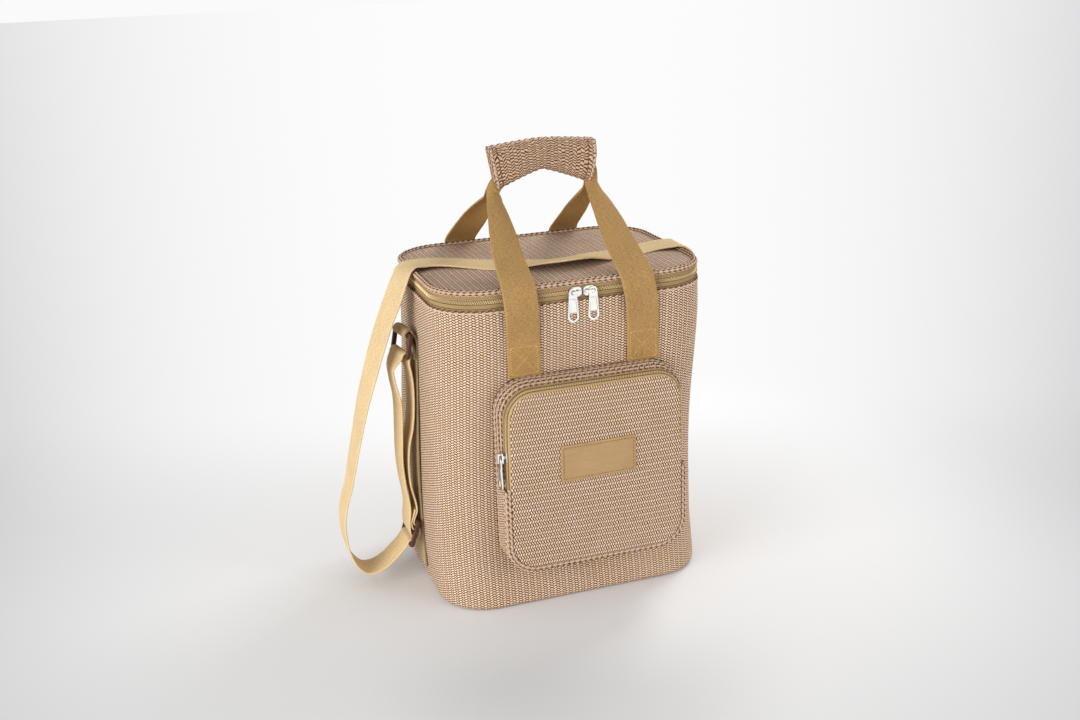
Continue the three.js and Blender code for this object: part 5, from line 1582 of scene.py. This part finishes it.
class COOLER_OT_stage(Operator):
    """Lays the pale floor and sets the soft studio light"""

    bl_idname = "cooler.stage"
    bl_label = "Stage"
    bl_options = {"REGISTER", "UNDO"}

    def execute(self, context):
        """A wide floor that takes the object's shadow near it and further off glows with the sweep's painted
        light falloff, glowing plain white in reflections; a white world, and three soft lamps."""
        corners = np.array([[-1, -1, 1], [1, -1, 1], [1, 1, 1], [-1, 1, 1]]) * [12.0, 12.0, -0.0003]
        floor = put_mesh("floor", corners, [np.array([[0, 1, 2, 3]])], outward=False)
        material = bpy.data.materials.new("studio floor")
        material.use_nodes = True
        tree = material.node_tree
        tree.nodes.clear()
        do = partial(calc, tree)
        place = tree.nodes.new("ShaderNodeTexCoord").outputs["Object"]
        x, y, _ = socket(tree, "ShaderNodeSeparateXYZ", Vector=place).outputs
        away = do("SQRT", do("ADD", do("MULTIPLY", x, x), do("MULTIPLY", y, y)))
        shade = self.sweep(tree, x, y)
        matt = socket(tree, "ShaderNodeBsdfDiffuse", Color=scaled(tree, shade, 0.97))
        seen = tree.nodes.new("ShaderNodeLightPath").outputs
        white = blend_colour(tree, seen["Is Glossy Ray"], shade, (0.97, 0.97, 0.97, 1))
        glow = socket(tree, "ShaderNodeEmission", Color=white, Strength=1.0)
        eyes = do("MAXIMUM", seen["Is Camera Ray"], seen["Is Glossy Ray"])
        share = do("MULTIPLY", do("MAXIMUM", ramp(tree, away, 0.28, 0.62), seen["Is Glossy Ray"]), eyes)
        self.mix(tree, "ShaderNodeOutputMaterial", share, matt, glow)
        floor.data.materials.append(material)
        self.lights(context.scene)
        return {"FINISHED"}

    def mix(self, tree, kind, share, first, second):
        """Sends a mix of two shaders to the tree's output."""
        mix = socket(tree, "ShaderNodeMixShader", i0=share, i1=first.outputs[0], i2=second.outputs[0])
        socket(tree, kind, i0=mix.outputs[0])

    def sweep(self, tree, x, y):
        """Painted light on the floor, the pale sweep's level at a place: white down the middle of the
        backdrop, with painted falloff by the cube of the bearing from the front of the stage, greyer towards
        the front edge, and a painted shadow of the bag in the middle of the front."""
        do = partial(calc, tree)
        x, y = do("ADD", x, 0.39), do("ADD", y, 1.138)
        ahead = do("ADD", do("MULTIPLY", x, 0.318), do("MULTIPLY", y, 0.948))
        aside = do("SUBTRACT", do("MULTIPLY", x, 0.948), do("MULTIPLY", y, 0.318))
        bearing = do("DIVIDE", aside, do("MAXIMUM", ahead, 0.5))
        # painted light falloff towards the sides and the front of the stage
        side = do("POWER", do("ABSOLUTE", bearing), 3.0)
        side = do("MINIMUM", do("MULTIPLY", side, ramp(tree, ahead, 0.9, 1.6, 0.3, 1.45)), 0.13)
        near = do("ADD", ramp(tree, ahead, 1.12, 1.66, 0.070, 0.0), ramp(tree, ahead, 0.86, 1.2, 0.045, 0.0))
        middle = ramp(tree, do("ABSOLUTE", do("SUBTRACT", bearing, 0.03)), 0.03, 0.22, 1.0, 0.0)
        # painted shadow of the bag, in the middle of the floor in front of it
        painted_shadow = do("MULTIPLY", ramp(tree, ahead, 0.92, 1.08, 0.075, 0.0), middle)
        level = do("SUBTRACT", do("SUBTRACT", do("SUBTRACT", 0.988, side), near), painted_shadow)
        level = do("POWER", do("MAXIMUM", level, 0.5), 2.25)
        return socket(tree, "ShaderNodeCombineXYZ", i0=level, i1=level, i2=level).outputs[0]

    def lights(self, scene):
        """The world and three soft lamps."""
        scene.world = bpy.data.worlds.new("studio")
        scene.world.use_nodes = True
        tree = scene.world.node_tree
        tree.nodes.clear()
        light = socket(tree, "ShaderNodeBackground", Color=(1, 1, 1, 1), Strength=0.59)
        white = socket(tree, "ShaderNodeBackground", Color=(0.955, 0.955, 0.955, 1), Strength=1.0)
        seen = tree.nodes.new("ShaderNodeLightPath").outputs
        eyes = calc(tree, "MAXIMUM", seen["Is Camera Ray"], seen["Is Glossy Ray"])
        eyes = calc(tree, "MAXIMUM", eyes, seen["Is Transmission Ray"])
        self.mix(tree, "ShaderNodeOutputWorld", eyes, light, white)
        for name, place, width, power in (
            ("key", (-1.7, -1.0, 0.6), 1.3, 34.3),
            ("top", (1.1, 0.7, 1.3), 0.7, 12.5),
            ("side", (1.3, -1.3, 0.6), 1.2, 13.4),
        ):
            data = bpy.data.lights.new(name, "AREA")
            data.shape = "SQUARE"
            data.size = width
            data.energy = power
            lamp = bpy.data.objects.new(name, data)
            lamp.location = place
            aim = Vector((0, 0, 0.18)) - Vector(place)
            lamp.rotation_euler = aim.to_track_quat("-Z", "Y").to_euler()
            scene.collection.objects.link(lamp)
        scene.view_settings.view_transform = "Standard"


STEPS = (
    COOLER_OT_camera,
    COOLER_OT_body,
    COOLER_OT_lining,
    COOLER_OT_lid,
    COOLER_OT_main_zip,
    COOLER_OT_pocket,
    COOLER_OT_label,
    COOLER_OT_handles,
    COOLER_OT_grip,
    COOLER_OT_strap,
    COOLER_OT_hardware,
    COOLER_OT_stage,
)


class COOLER_PT_panel(Panel):
    """Lists the bag's sizes, colours and steps"""

    bl_label = "Cooler Bag"
    bl_space_type = "VIEW_3D"
    bl_region_type = "UI"
    bl_category = "Cooler Bag"

    def draw(self, context):
        """One box of sliders for the sizes, one for the colours, and a button for each step."""
        layout = self.layout
        for holder in (context.scene.bag_sizes, context.scene.bag_colours):
            box = layout.box()
            for key in type(holder).__annotations__:
                box.prop(holder, key)
        for step in STEPS:
            layout.operator(step.bl_idname)


CLASSES = (BagSizes, BagColours, *STEPS, COOLER_PT_panel)


def register():
    """Adds the classes, and the sizes and colours of a scene."""
    for item in CLASSES:
        bpy.utils.register_class(item)
    bpy.types.Scene.bag_sizes = PointerProperty(type=BagSizes)
    bpy.types.Scene.bag_colours = PointerProperty(type=BagColours)


def unregister():
    """Takes them away again."""
    del bpy.types.Scene.bag_colours
    del bpy.types.Scene.bag_sizes
    for item in reversed(CLASSES):
        bpy.utils.unregister_class(item)


def main():
    """Builds the whole bag."""
    register()
    for step in STEPS:
        area, action = step.bl_idname.split(".")
        getattr(getattr(bpy.ops, area), action)()
    bpy.context.view_layer.update()


if __name__ == "__main__":
    main()
